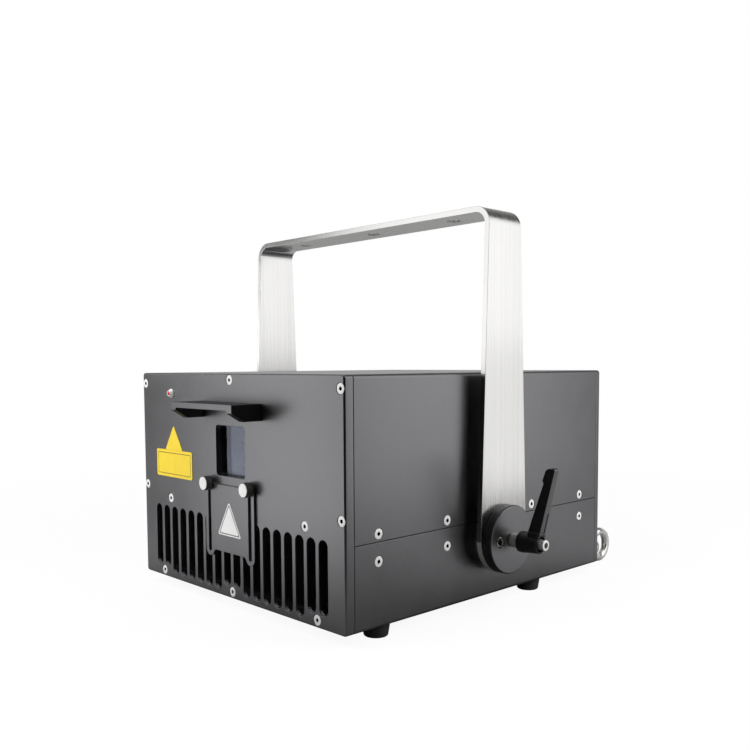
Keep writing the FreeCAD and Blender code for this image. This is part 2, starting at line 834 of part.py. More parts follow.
def yoke():
    """Flat bar bent into a stirrup; its legs widen towards round ends at the pivots."""
    z1 = z_under + yoke_top_up
    z0 = z_pivot - yoke_end_r
    y0, y1 = y_mid - yoke_end_r, y_mid + yoke_end_r
    outer = rounded_top(yoke_half_w, z0, z1, yoke_bend_r, y0, y1)
    inner = rounded_top(yoke_half_w - yoke_t, z0 - overrun, z1 - yoke_t, yoke_bend_r - yoke_t,
                        y0 - overrun, y1 + overrun)
    bar = yoke_bar_w / 2
    x0 = -yoke_half_w - overrun
    wide = 2 * (yoke_half_w + overrun)
    taper = [(y0, z_pivot), (y1, z_pivot), (y_mid + bar, z1), (y_mid - bar, z1)]
    side = prism_x(taper, x0, x0 + wide)
    side = side.fuse(rod(V(x0, y_mid, z_pivot), X_AXIS, yoke_end_r, wide))
    bent = outer.cut(inner).common(side)
    cuts = [rod(V(x0, y_mid, z_pivot), X_AXIS, hub_spigot_r + run_fit, wide)]
    cuts += [rod(V(x, y_mid, z1 - yoke_t - overrun), Z_AXIS, yoke_hole_r, yoke_t + 2 * overrun)
             for x in (-yoke_hole_x, 0, yoke_hole_x)]
    cuts += [disc_screw_hole(side_sign, y, thread_fit) for side_sign in (-1, 1) for y in both(disc_screw_off)]
    return bent.cut(cuts).removeSplitter()


def rounded_top(half, z0, z1, r, y0, y1):
    """Block whose two upper edges along Y are rounded."""
    block = box(-half, half, y0, y1, z0, z1)
    return block.makeFillet(r, [e for e in edges_along(block, Y_AXIS) if abs(e.CenterOfMass.z - z1) < 1e-6])


def disc_screw_hole(side, y, fit):
    """Straight hole for a clamp disc screw, down to the yoke's inner face."""
    start = V(side * (x_disc_face + overrun), y_mid + y, z_pivot)
    return rod(start, X_AXIS * -side, cap_d / 2 + fit, x_disc_face - yoke_half_w + yoke_t + overrun)


def pivot_hub():
    """Boss on the right side: a shank in the wall, a flange, and the spigot that the yoke turns on."""
    x0 = x_in
    flange_end = yoke_half_w - yoke_t
    end = yoke_half_w - hub_spigot_short
    shape = [(0, 0), (hub_shank_r, 0), (hub_shank_r, half_w - x0), (hub_r, half_w - x0),
             (hub_r, flange_end - x0), (hub_spigot_r, flange_end - x0), (hub_spigot_r, end - x0),
             (0, end - x0)]
    boss = turned(shape, V(x0, y_mid, z_pivot), X_AXIS)
    return boss.cut(rod(V(x0 + hub_wall, y_mid, z_pivot), X_AXIS, stud_r + run_fit, end))


def friction_ring():
    """Ring between the yoke and the clamp disc."""
    ring = rod(V(x_ring, y_mid, z_pivot), X_AXIS, disc_r, ring_t)
    start = V(x_ring - overrun, y_mid, z_pivot)
    cuts = [rod(start, X_AXIS, hub_spigot_r + ring_hole_gap, ring_t + 2 * overrun)]
    cuts += [disc_screw_hole(1, y, hole_fit) for y in both(disc_screw_off)]
    return ring.cut(cuts)


def clamp_disc():
    """Outer disc with two counterbored screw holes and the stud's hole."""
    disc = turned([(0, 0), (disc_r, 0), (disc_r, disc_t - disc_ch), (disc_r - disc_ch, disc_t), (0, disc_t)],
                  V(x_disc, y_mid, z_pivot), X_AXIS)
    cuts = [rod(V(x_disc - overrun, y_mid, z_pivot), X_AXIS, stud_r + stud_gap, disc_t + 2 * overrun)]
    for y in both(disc_screw_off):
        cuts.append(disc_screw_hole(1, y, hole_fit))
        cuts.append(rod(V(x_disc_face - disc_screw_deep, y_mid + y, z_pivot), X_AXIS, disc_screw_mouth_d / 2,
                        disc_screw_deep + overrun))
    return disc.cut(cuts)


def disc_screws():
    """Cap screws of both clamp discs."""
    screws = []
    for y in both(disc_screw_off):
        at = V(x_disc_face - disc_screw_deep, y_mid + y, z_pivot)
        tip = at.x - (yoke_half_w - yoke_t)
        head, shank = cap_head_d / 2, cap_d / 2
        length = min(cap_len, tip)
        shape = [(0, cap_head_h), (head, cap_head_h), (head, 0), (shank, 0), (shank, -length), (0, -length)]
        body = turned(shape, at, X_AXIS)
        screws.append(body.cut(hex_bar(cap_key, cap_head_h, at + X_AXIS * (cap_head_h / 2), X_AXIS)))
    return group(screws + [mirrored(s) for s in screws])


def clamp_stud():
    """Threaded stud in the hub with the hexagonal insert that the lever sits on."""
    start = x_in + hub_wall + stud_tip_gap
    shaft = rod(V(start, y_mid, z_pivot), X_AXIS, stud_r, x_insert - start)
    insert = hex_bar(insert_flats, insert_l, V(x_insert, y_mid, z_pivot), X_AXIS)
    bore = rod(V(x_insert, y_mid, z_pivot), X_AXIS, lever_screw_r + thread_fit, insert_l + overrun)
    return shaft.fuse(insert.cut(bore))


def lever_handle():
    """Lever: a round hub with a socket for the insert and an arm that leans away from the box."""
    r, end = lever_hub_r, lever_hub_end_r
    hub = turned([(0, 0), (r, 0), (r, lever_collar_l), (end, lever_hub_l), (0, lever_hub_l)],
                 V(x_lever, y_mid, z_pivot), X_AXIS)
    tip_out = x_lever_end + lever_tip_lean
    inner_foot = x_lever + lever_base_in
    tall = lever_arm_len
    tip_in = tip_out - lever_tip_t
    notch_x = tip_out - lever_tip_lean * (1 - lever_notch_share) - lever_notch_t
    outline = [(inner_foot, 0), (inner_foot, lever_foot_share * tall), (notch_x, lever_notch_share * tall),
               (notch_x - lever_notch_deep, lever_bump_share * tall),
               (tip_in - lever_notch_deep, lever_tip_share * tall), (tip_in, tall), (tip_out, tall),
               (x_lever_end, lever_foot_share * tall), (x_lever_end, 0)]
    half = lever_arm_w / 2
    arm = prism_y([(x, z_pivot + z) for x, z in outline], y_mid - half, y_mid + half)
    rims = [e for y in both(half) for e in edges_on_plane(arm, "y", y_mid + y)]
    arm = arm.makeChamfer(lever_arm_ch, rims)
    handle = hub.fuse(arm).removeSplitter()
    socket = hex_bar(insert_flats + 2 * slide_gap, x_insert_end + slide_gap - x_lever + overrun,
                     V(x_lever - overrun, y_mid, z_pivot), X_AXIS)
    shank = rod(V(x_insert, y_mid, z_pivot), X_AXIS, lever_screw_r + slide_gap, lever_hub_l)
    mouth = rod(V(x_web_end, y_mid, z_pivot), X_AXIS, lever_head_r + hole_fit, lever_hub_l)
    return handle.cut([socket, shank, mouth])


def lever_screw():
    """Screw that keeps the lever on its insert; its head stays above the web so that the lever can lift."""
    start = x_insert
    under = x_head_under - start
    face = x_head_face - start
    shape = [(0, 0), (lever_screw_r, 0), (lever_screw_r, under), (lever_head_r, under), (lever_head_r, face),
             (0, face)]
    body = turned(shape, V(start, y_mid, z_pivot), X_AXIS)
    key_deep = (face - under) / 2
    key_floor = V(x_head_face - key_deep, y_mid, z_pivot)
    return body.cut(hex_bar(lever_head_key, key_deep + overrun, key_floor, X_AXIS))


def eye_place():
    """Middle of the safety eye's seat on the rear plate."""
    return V(half_w - eye_x_in, y_rear, z_under + eye_up)


def eye_thread():
    """Threaded hole of the safety eye, through all that lies behind it."""
    return rod(eye_place() + REAR * overrun, FRONT, eye_shank_r + thread_fit, eye_shank_l + 2 * overrun)


def safety_eye():
    """Lifting eye: ring on a collar, with a threaded shank."""
    at = eye_place()
    ring = Part.makeTorus(eye_ring_r, eye_bar_r, at + REAR * eye_out, X_AXIS)
    collar = rod(at, REAR, eye_collar_r, eye_collar_h)
    below = rod(at, FRONT, 2 * eye_out, eye_out)
    shank = rod(at, FRONT, eye_shank_r, eye_shank_l)
    return ring.cut(below).fuse(collar).fuse(shank)


def scanner_block():
    """Two posts on a foot that hold the galvo motors."""
    h, off = scan_post_half, scan_post_off
    far = off + scan_post_t
    foot = box(-h, far, y_scan - h, y_scan + far, z_deck, z_deck + scan_foot_t)
    post_y = box(off, far, y_scan - h, y_scan + h, z_deck, z_aperture + h)
    post_x = box(-h, h, y_scan + off, y_scan + far, z_deck, z_beam + h)
    bore_y = rod(V(0, y_scan, z_aperture), X_AXIS, galvo_r + run_fit, far + overrun)
    bore_x = rod(V(0, y_scan, z_beam), Y_AXIS, galvo_r + run_fit, far + overrun)
    return foot.fuse([post_y, post_x]).removeSplitter().cut([bore_y, bore_x])


def galvo_motor(at, along):
    """Motor can with the bore of its shaft."""
    can = rod(at + along * galvo_start, along, galvo_r, galvo_l)
    return can.cut(rod(at, along, galvo_shaft_r + run_fit, galvo_start + galvo_l / 2))


def galvo_mirror(at, along, length, width, flat):
    """Mirror on its shaft; flat is the direction that the mirror's width runs in."""
    shaft = rod(at + along * (length / 2), along, galvo_shaft_r, galvo_start + galvo_l / 3 - length / 2)
    clip = rod(at + along * (length / 2 - mirror_clip_l), along, mirror_clip_r, mirror_clip_l)
    normal = along.cross(flat)
    corner = at - along * (length / 2) - flat * (width / 2) - normal * (mirror_t / 2)
    wire = Part.makePolygon([corner, corner + flat * width, corner + flat * width + normal * mirror_t,
                             corner + normal * mirror_t, corner])
    glass = Part.Face(wire).extrude(along * length)
    return glass.fuse([shaft, clip]).removeSplitter()


def laser_module(i):
    """Laser head on the bench with a round beam port in its face."""
    y = laser_y(i)
    block = box(x_laser, x_laser + laser_l, y - laser_w / 2, y + laser_w / 2, z_deck, z_deck + laser_h)
    port = rod(V(x_laser - overrun, y, z_beam), X_AXIS, laser_port_r, laser_port_deep + overrun)
    return block.cut(port)


def laser_y(i):
    """Middle of a laser module across the beam line."""
    first = y_scan + galvo_start + galvo_l + laser_room + laser_w / 2
    return first + i * laser_step_share * inner_d


def fold_ys():
    """Mirrors along the beam line: one per laser, and one that turns the beam to the scanner."""
    return [y_scan] + [laser_y(i) for i in range(3)]


def mirror_mounts():
    """Posts behind the beam mirrors."""
    mounts = []
    for y in fold_ys():
        post = box(-fold_post_l, 0, -fold_post_w / 2, fold_post_w / 2, z_deck, z_beam + fold_s / 2)
        post.Placement = FreeCAD.Placement(V(beam_x, y, 0), FreeCAD.Rotation(Z_AXIS, fold_turn(y)))
        mounts.append(post)
    return group(mounts)


def beam_mirrors():
    """Glass plates at 45 degrees on the beam line."""
    mirrors = []
    for y in fold_ys():
        s = fold_s / 2
        glass = box(0, fold_t, -s, s, z_beam - s, z_beam + s)
        glass.Placement = FreeCAD.Placement(V(beam_x, y, 0), FreeCAD.Rotation(Z_AXIS, fold_turn(y)))
        mirrors.append(glass)
    return group(mirrors)


def fold_turn(y):
    """Turn of a mirror about Z: the scanner's faces back along the line, the others towards the front."""
    return 45 if y == y_scan else -45


def driver(start_share):
    """Upright driver: circuit board on a metal angle that stands on the bench."""
    x1 = x_in - driver_x_in
    y0 = y_in_front + start_share * inner_d
    y1 = y0 + driver_l_share * inner_d
    angle = box(x1 - driver_w, x1, y0, y1, z_deck, z_deck + board_clear)
    back = box(x1 - board_clear, x1, y0, y1, z_deck, z_deck + driver_h)
    x0 = x1 - 2 * board_clear
    board = box(x0, x0 + board_t, y0, y1, z_deck + board_clear, z_deck + driver_h)
    return angle.fuse([back, board]).removeSplitter()


def control_board():
    """Board that stands on the bench behind the rear sockets."""
    return box(-control_w / 2, control_w / 2, y_control, y_control + board_t, z_deck, z_deck + control_h)


def power_supply():
    """Enclosed supply on the bench."""
    x0 = -x_in + supply_x_in
    y1 = y_control - supply_room
    return box(x0, x0 + supply_w, y1 - supply_l, y1, z_deck, z_deck + supply_h)


def fan_frame(x):
    """Square frame with a round bore, a motor plate on four struts and the rotor's pin."""
    s = fan_s / 2
    z = z_fan
    y0 = y_in_rear - fan_t
    frame = box(x - s, x + s, y0, y_in_rear, z - s, z + s)
    frame = frame.cut(rod(V(x, y0 - overrun, z), Y_AXIS, fan_bore_r, fan_t + 2 * overrun))
    motor = rod(V(x, y0, z), Y_AXIS, fan_motor_r, fan_motor_t)
    pin = rod(V(x, y0, z), Y_AXIS, fan_pin_r, fan_motor_t + fan_pin_l)
    w = fan_strut_w / 2
    across = box(x - s, x + s, y0, y0 + fan_motor_t, z - w, z + w)
    upright = box(x - w, x + w, y0, y0 + fan_motor_t, z - s, z + s)
    return frame.fuse([motor, pin, across, upright]).removeSplitter()


def fan_rotor(x):
    """Hub with pitched blades, running on the frame's pin."""
    z = z_fan
    y0 = y_in_rear - fan_t + fan_motor_t + fan_hub_gap
    hub = rod(V(x, y0, z), Y_AXIS, fan_hub_r, fan_hub_l)
    blades = []
    for i in range(fan_blade_n):
        c = fan_blade_chord / 2
        blade = box(fan_blade_root_r, fan_blade_r, -c, c, -fan_blade_t / 2, fan_blade_t / 2)
        blade.rotate(V(0, 0, 0), X_AXIS, fan_blade_pitch)
        blade.rotate(V(0, 0, 0), Y_AXIS, 360 * i / fan_blade_n)
        blade.translate(V(x, y0 + fan_hub_l / 2, z))
        blades.append(blade)
    rotor = hub.fuse(blades).removeSplitter()
    return rotor.cut(rod(V(x, y0 - overrun, z), Y_AXIS, fan_pin_r + run_fit, fan_hub_l + 2 * overrun))


def power_inlet():
    """Mains inlet: flange, body, socket with three pins, and the rocker's window."""
    z = z_under + inlet_up
    y1 = y_rear + inlet_flange_t
    flange = rounded_y(inlet_x - inlet_w / 2, inlet_x + inlet_w / 2, y_rear, y1,
                       z - inlet_h / 2, z + inlet_h / 2, inlet_r)
    body = box(inlet_x - inlet_body_w / 2, inlet_x + inlet_body_w / 2, y_rear - inlet_body_d, y_rear,
               z - inlet_body_h / 2, z + inlet_body_h / 2)
    zp = z - plug_down
    socket = rounded_y(inlet_x - plug_w / 2, inlet_x + plug_w / 2, y1 - plug_deep, y1 + overrun,
                       zp - plug_h / 2, zp + plug_h / 2, inlet_r)
    at = rocker_axis()
    wide, tall = rocker_w / 2 + insert_gap, rocker_h / 2 + rocker_win_gap
    window = box(at.x - wide, at.x + wide, y1 - rocker_win_deep, y1 + overrun, at.z - tall, at.z + tall)
    pivot = rocker_pivot(run_fit, overrun)
    shell = flange.fuse(body).removeSplitter().cut([socket, window, pivot])
    pins = []
    for x, drop in ((-pin_gap_x, -pin_drop), (0, pin_drop), (pin_gap_x, -pin_drop)):
        pins.append(box(inlet_x + x - pin_t / 2, inlet_x + x + pin_t / 2, y1 - plug_deep, y1 - inlet_flange_t,
                        zp + drop - pin_w / 2, zp + drop + pin_w / 2))
    return shell.fuse(pins)


def rocker_axis():
    """Point on the rocker's axis."""
    return V(inlet_x, y_rear + inlet_flange_t - rocker_axis_deep, z_under + inlet_up + rocker_rise)


def rocker_pivot(fit, longer):
    """Pivot pin across the rocker, or the hole for it."""
    reach = rocker_w / 2 + rocker_pin_l + longer
    return rod(rocker_axis() - X_AXIS * reach, X_AXIS, rocker_pin_r + fit, 2 * reach)


def power_rocker():
    """Rocker with a dished face, tilting about X on its two pins."""
    at = rocker_axis()
    h = rocker_h / 2
    face = at.y + rocker_axis_deep + rocker_out
    side = [(face, at.z + h), (face - rocker_dish, at.z), (face, at.z - h), (at.y, at.z - h),
            (face - rocker_t, at.z - h / 2), (face - rocker_t, at.z + h / 2), (at.y, at.z + h)]
    return prism_x(side, at.x - rocker_w / 2, at.x + rocker_w / 2).fuse(rocker_pivot(0, 0))


def key_lock():
    """Lock body with a flange on the rear plate and a bore for the barrel."""
    at = V(key_x, y_rear, z_under + key_up)
    body = rod(at + FRONT * key_body_l, REAR, key_body_r, key_body_l)
    flange = rod(at, REAR, key_flange_r, key_flange_t)
    bore = rod(at + FRONT * key_barrel_l, REAR, key_barrel_r + run_fit, key_barrel_l + key_flange_t + overrun)
    return body.fuse(flange).cut(bore)


def switch_key():
    """Lock barrel with the key in it; the bow has a hole for a ring."""
    at = V(key_x, y_rear, z_under + key_up)
    y1 = y_rear + key_flange_t
    inside = key_barrel_l - slide_gap
    barrel = rod(at + FRONT * inside, REAR, key_barrel_r, inside + key_flange_t)
    t = key_bow_t / 2
    stem = box(at.x - t, at.x + t, y1, y1 + key_stem_l, at.z - key_stem_w / 2, at.z + key_stem_w / 2)
    y2 = y1 + key_stem_l
    bow = box(at.x - t, at.x + t, y2, y2 + key_bow_h, at.z - key_bow_w / 2, at.z + key_bow_w / 2)
    bow = bow.makeFillet(key_ring_r, edges_along(bow, X_AXIS))
    ring = rod(V(at.x - t - overrun, y2 + key_bow_h - 2 * key_ring_r, at.z), X_AXIS, key_ring_r,
               key_bow_t + 2 * overrun)
    return barrel.fuse([stem, bow]).removeSplitter().cut(ring)


def data_sockets():
    """Wide data sockets with their two jack posts each."""
    sockets = []
    for up in data_ups:
        z = z_under + up
        flange = box(data_x - data_flange_w / 2, data_x + data_flange_w / 2, y_rear, y_rear + data_flange_t,
                     z - data_flange_h / 2, z + data_flange_h / 2)
        shell = box(data_x - data_shell_w / 2, data_x + data_shell_w / 2, y_rear - data_body_d,
                    y_rear + data_shell_out, z - data_shell_h / 2, z + data_shell_h / 2)
        posts = [V(data_x + x, y_rear, z) for x in both(data_post_off)]
        bars = [hex_bar(data_post_flats, data_post_out, p, REAR) for p in posts]
        sockets.append(flange.fuse([shell] + bars).removeSplitter())
    return group(sockets)


def signal_sockets():
    """Round sockets on square flanges, each with three pins in a bowl."""
    sockets = []
    for x in signal_xs:
        at = V(x, y_rear, z_under + signal_up)
        w, h = signal_flange_w / 2, signal_flange_h / 2
        flange = rounded_y(x - w, x + w, y_rear, y_rear + signal_flange_t, at.z - h, at.z + h, corner_r)
        body = rod(at + FRONT * signal_body_l, REAR, signal_r, signal_body_l)
        face = y_rear + signal_flange_t
        bowl = rod(V(x, face - signal_bowl_deep, at.z), REAR, signal_bowl_r, signal_bowl_deep + overrun)
        pins = []
        for i in range(signal_pin_n):
            a = math.radians(360 * i / signal_pin_n - 90)
            off = X_AXIS * (signal_pin_pcd_r * math.cos(a)) + Z_AXIS * (signal_pin_pcd_r * math.sin(a))
            spot = V(x, face - signal_bowl_deep, at.z) + off
            pins.append(rod(spot, REAR, signal_pin_r, signal_bowl_deep - signal_flange_t))
        sockets.append(flange.fuse(body).removeSplitter().cut(bowl).fuse(pins))
    return group(sockets)


def sided(make):
    """A piece on the right and its mirror image on the left, named for its function."""
    right = make()
    return {make.__name__ + "_right": right, make.__name__ + "_left": mirrored(right)}


def all_pieces():
    """Every node's shape by name."""
    left_thumb, right_thumb = thumb_spots()
    slant_x = (X_AXIS - Z_AXIS).normalize()
    slant_y = (Y_AXIS + Z_AXIS).normalize()
    scan_x_at, scan_y_at = V(0, y_scan, z_beam), V(0, y_scan, z_aperture)
    pieces = {
        "front_plate": front_plate(),
        "rear_plate": rear_plate(),
        "top_cover": top_cover(),
        "base_tray": base_tray(),
        "optical_bench": optical_bench(),
        "heat_sink": heat_sink(),
        "front_screws": group(end_screws(sink_screw, y_front, FRONT)),
        "rear_screws": group(end_screws(sink_screw, y_rear, REAR)),
        "side_screws": group(side_screws_at(z_high_row, sink_screw) + side_screws_at(z_low_row, sink_screw)),
        "rubber_feet": rubber_feet(),
        "foot_screws": foot_screws(),
        "aperture_hood": aperture_hood(),
        "inner_screws": inner_screws(),
        "aperture_glass": aperture_glass(),
        "glass_retainer": glass_retainer(),
        "led_bezel": led_bezel(),
        "led_lens": led_lens(),
        "label_plate": label_plate(),
        "beam_mask": beam_mask(),
        "thumb_screw_left": thumb_screw(left_thumb),
        "thumb_screw_right": thumb_screw(right_thumb),
        "yoke": yoke(),
        "disc_screws": disc_screws(),
        "safety_eye": safety_eye(),
        "red_laser": laser_module(0),
        "green_laser": laser_module(1),
        "blue_laser": laser_module(2),
        "mirror_mounts": mirror_mounts(),
        "beam_mirrors": beam_mirrors(),
        "scanner_block": scanner_block(),
        "galvo_motor_x": galvo_motor(scan_x_at, Y_AXIS),
        "galvo_motor_y": galvo_motor(scan_y_at, X_AXIS),
        "galvo_mirror_x": galvo_mirror(scan_x_at, Y_AXIS, mirror_x_l, mirror_x_w, slant_x),
        "galvo_mirror_y": galvo_mirror(scan_y_at, X_AXIS, mirror_y_l, mirror_y_w, slant_y),
        "scanner_driver": driver(scan_driver_share),
        "laser_driver": driver(laser_driver_share),
        "control_board": control_board(),
        "power_supply": power_supply(),
        "fan_frame_left": fan_frame(-fan_x),
        "fan_frame_right": fan_frame(fan_x),
        "fan_rotor_left": fan_rotor(-fan_x),
        "fan_rotor_right": fan_rotor(fan_x),
        "power_inlet": power_inlet(),
        "power_rocker": power_rocker(),
        "key_lock": key_lock(),
        "switch_key": switch_key(),
        "data_sockets": data_sockets(),
        "signal_sockets": signal_sockets(),
    }
    for make in (pivot_hub, friction_ring, clamp_disc, clamp_stud, lever_handle, lever_screw):
        pieces.update(sided(make))
    return pieces


for name, shape in all_pieces().items():
    shape.exportStep("parts/%s.step" % name)
    print(name, len(shape.Solids), round(shape.Volume, 1), shape.isValid())
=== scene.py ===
"""Looks of a laser show projector in a stirrup yoke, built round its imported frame.

Sizes are in millimetres, in the frame's own axes: Z up from the floor, the front towards -Y.
"""
import json
import logging
import math
from contextlib import contextmanager
from dataclasses import dataclass
from enum import Enum
from typing import Callable, Dict, Iterator, List, Optional, Sequence, Tuple

import bpy
from mathutils import Matrix, Vector


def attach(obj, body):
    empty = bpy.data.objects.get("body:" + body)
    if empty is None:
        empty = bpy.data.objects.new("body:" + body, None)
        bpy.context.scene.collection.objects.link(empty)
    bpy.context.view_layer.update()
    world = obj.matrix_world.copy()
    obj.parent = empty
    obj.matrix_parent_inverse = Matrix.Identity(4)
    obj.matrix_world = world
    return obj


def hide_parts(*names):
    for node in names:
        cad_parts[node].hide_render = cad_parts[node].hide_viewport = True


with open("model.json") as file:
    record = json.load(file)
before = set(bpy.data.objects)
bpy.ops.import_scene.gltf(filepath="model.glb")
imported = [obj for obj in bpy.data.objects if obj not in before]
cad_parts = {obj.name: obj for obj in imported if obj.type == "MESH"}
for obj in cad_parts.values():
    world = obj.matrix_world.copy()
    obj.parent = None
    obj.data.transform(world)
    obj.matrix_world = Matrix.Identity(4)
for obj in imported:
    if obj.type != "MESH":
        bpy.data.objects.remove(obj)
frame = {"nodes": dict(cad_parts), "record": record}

LOG = logging.getLogger("projector")
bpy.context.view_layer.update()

# Metres in a millimetre, then lengths in millimetres: what counts as the same place, how far a test of a
# place reaches past a size, and how far a cutter reaches past a face.
MM = 0.001
NEAR = 1e-3
SLACK = 0.1
OVERRUN = 1.0

Point2 = Tuple[float, float]
Point3 = Tuple[float, float, float]
Rgb = Tuple[float, float, float]
Range = Tuple[float, float]
Line = Sequence[Point2]
Piece = bpy.types.Object
NodeSocket = bpy.types.NodeSocket


class Facing(Enum):
    """Way that a piece drawn towards +Z looks once it is in its place; the values are its three axes."""

    UP = ((1, 0, 0), (0, 1, 0), (0, 0, 1))
    FRONT = ((1, 0, 0), (0, 0, 1), (0, -1, 0))
    REAR = ((-1, 0, 0), (0, 0, 1), (0, 1, 0))
    RIGHT = ((0, 1, 0), (0, 0, 1), (1, 0, 0))
    LEFT = ((0, -1, 0), (0, 0, 1), (-1, 0, 0))

    def matrix(self, at: Point3) -> Matrix:
        """World matrix that turns a piece to face this way, with its origin at a point in millimetres."""
        turn = Matrix(self.value).transposed().to_4x4()
        return Matrix.Translation(Vector(at) * MM) @ turn


class Shop:
    """Modelling steps done with Blender's own operators."""

    @staticmethod
    def only(obj: Piece) -> None:
        """Make one object the only selected and the active one."""
        bpy.ops.object.select_all(action="DESELECT")
        obj.select_set(True)
        bpy.context.view_layer.objects.active = obj

    @staticmethod
    @contextmanager
    def editing(obj: Piece, mode: str = "VERT") -> Iterator[None]:
        """Edit mode on one object.

        Args:
            obj: Object to edit.
            mode: Kind of element that is selected: VERT, EDGE or FACE.
        """
        Shop.only(obj)
        bpy.context.tool_settings.mesh_select_mode = tuple(mode == m for m in ("VERT", "EDGE", "FACE"))
        bpy.ops.object.mode_set(mode="EDIT")
        yield
        bpy.ops.object.mode_set(mode="OBJECT")

    @staticmethod
    def clear_picks(mesh: bpy.types.Mesh) -> None:
        """Deselect every element of a mesh."""
        for elements in (mesh.vertices, mesh.edges, mesh.polygons):
            elements.foreach_set("select", [False] * len(elements))

    @staticmethod
    def block(name: str, low: Point3, high: Point3) -> Piece:
        """Cube primitive stretched between two corners.

        Args:
            name: Name of the new object.
            low: Lowest corner.
            high: Highest corner.

        Returns:
            The block, with its place in its mesh.
        """
        middle = [(a + b) / 2 * MM for a, b in zip(low, high)]
        size = [(b - a) * MM for a, b in zip(low, high)]
        bpy.ops.object.select_all(action="DESELECT")
        bpy.ops.mesh.primitive_cube_add(size=1, location=middle)
        obj = bpy.context.active_object
        obj.name = name
        obj.scale = size
        bpy.ops.object.transform_apply(location=True, rotation=True, scale=True)
        return obj

    @staticmethod
    def chain(name: str, points: Line, lift: bool) -> Piece:
        """One vertex, extruded from point to point.

        Args:
            name: Name of the new object.
            points: Places in the drawing plane.
            lift: True draws in the XZ plane, for turning; False draws in the XY plane.

        Returns:
            Object whose mesh is the line, with all of it selected.
        """
        def spot(p: Point2) -> Vector:
            """Place of a point in metres."""
            return Vector((p[0], 0, p[1]) if lift else (p[0], p[1], 0)) * MM

        bpy.ops.object.select_all(action="DESELECT")
        bpy.ops.mesh.primitive_plane_add(size=MM, location=(0, 0, 0))
        obj = bpy.context.active_object
        obj.name = name
        with Shop.editing(obj):
            bpy.ops.mesh.select_all(action="SELECT")
            bpy.ops.mesh.merge(type="CENTER")
            bpy.ops.transform.translate(value=spot(points[0]))
            for a, b in zip(points, points[1:]):
                bpy.ops.mesh.extrude_region_move(TRANSFORM_OT_translate={"value": spot(b) - spot(a)})
            bpy.ops.mesh.select_all(action="SELECT")
        return obj

    @staticmethod
    def turned(name: str, profile: Line, steps: int = 48, facing: Optional[Facing] = None,
               at: Point3 = (0, 0, 0)) -> Piece:
        """Line of (radius, height) points spun round Z, and put in its place if it has one.

        Args:
            name: Name of the new object.
            profile: Points of the line; a closed ring ends where it starts.
            steps: Steps of the full turn.
            facing: Way that its axis looks, if it is put in a place.
            at: Place of its origin.

        Returns:
            Closed body of revolution.
        """
        obj = Shop.chain(name, profile, lift=True)
        with Shop.editing(obj):
            bpy.ops.mesh.select_all(action="SELECT")
            bpy.ops.mesh.spin(steps=steps, angle=2 * math.pi, center=(0, 0, 0), axis=(0, 0, 1))
            bpy.ops.mesh.select_all(action="SELECT")
            bpy.ops.mesh.remove_doubles(threshold=NEAR * MM)
            bpy.ops.mesh.normals_make_consistent(inside=False)
        return Shop.put(obj, facing, at) if facing else obj

    @staticmethod
    def rod(name: str, r: float, ends: Point2, steps: int, facing: Facing, at: Point3) -> Piece:
        """Plain round bar between two heights on its axis, for bores and cores."""
        low, high = ends
        return Shop.turned(name, [(0, low), (r, low), (r, high), (0, high)], steps, facing, at)

    @staticmethod
    def slab(name: str, points: Line, thick: float, facing: Optional[Facing] = None,
             at: Point3 = (0, 0, 0)) -> Piece:
        """Closed outline in XY, filled and extruded towards +Z, and put in its place if it has one.

        Args:
            name: Name of the new object.
            points: Outline.
            thick: Height of the extrusion.
            facing: Way that its extruded face looks, if it is put in a place.
            at: Place of its origin.

        Returns:
            Closed slab.
        """
        obj = Shop.chain(name, points, lift=False)
        with Shop.editing(obj):
            bpy.ops.mesh.select_all(action="SELECT")
            bpy.ops.mesh.edge_face_add()
            bpy.ops.mesh.extrude_region_move(TRANSFORM_OT_translate={"value": (0, 0, thick * MM)})
            bpy.ops.mesh.select_all(action="SELECT")
            bpy.ops.mesh.normals_make_consistent(inside=False)
        return Shop.put(obj, facing, at) if facing else obj

    @staticmethod
    def put(obj: Piece, facing: Facing, at: Point3) -> Piece:
        """Turn and move a piece, and apply that to its mesh."""
        Shop.only(obj)
        obj.matrix_world = facing.matrix(at)
        bpy.ops.object.transform_apply(location=True, rotation=True, scale=True)
        return obj

    @staticmethod
    def twin(obj: Piece, name: str) -> Piece:
        """Copy of a piece in the same place, with a mesh of its own."""
        other = obj.copy()
        other.data = obj.data.copy()
        other.name = name
        bpy.context.scene.collection.objects.link(other)
        return other

    @staticmethod
    def copies(obj: Piece, name: str, facing: Facing, spots: Sequence[Point3]) -> List[Piece]:
        """Copies of a piece at several places; the model is used up.

        Args:
            obj: Model, which faces +Z.
            name: Name with room for the copy's number, counted from 1.
            facing: Way that the copies look.
            spots: Place of each copy's origin.

        Returns:
            The copies, in the order of their places.
        """
        made = [Shop.put(Shop.twin(obj, name % (i + 1)), facing, p) for i, p in enumerate(spots)]
        bpy.data.objects.remove(obj)
        return made

    @staticmethod
    def mirrored(obj: Piece, name: str) -> Piece:
        """Copy of a piece on the other side of the box.

        Args:
            obj: Piece on the right.
            name: Name of the piece on the left.

        Returns:
            Mirror image, with its faces pointing outwards.
        """
        image = Shop.twin(obj, name)
        Shop.only(image)
        image.scale = (-1, 1, 1)
        bpy.ops.object.transform_apply(location=True, rotation=True, scale=True)
        with Shop.editing(image):
            bpy.ops.mesh.select_all(action="SELECT")
            bpy.ops.mesh.normals_make_consistent(inside=False)
        return image

    @staticmethod
    def joined(parts: Sequence[Piece], name: str) -> Piece:
        """Several meshes as one object."""
        bpy.ops.object.select_all(action="DESELECT")
        for part in parts:
            part.select_set(True)
        bpy.context.view_layer.objects.active = parts[0]
        if len(parts) > 1:
            bpy.ops.object.join()
        parts[0].name = name
        return parts[0]

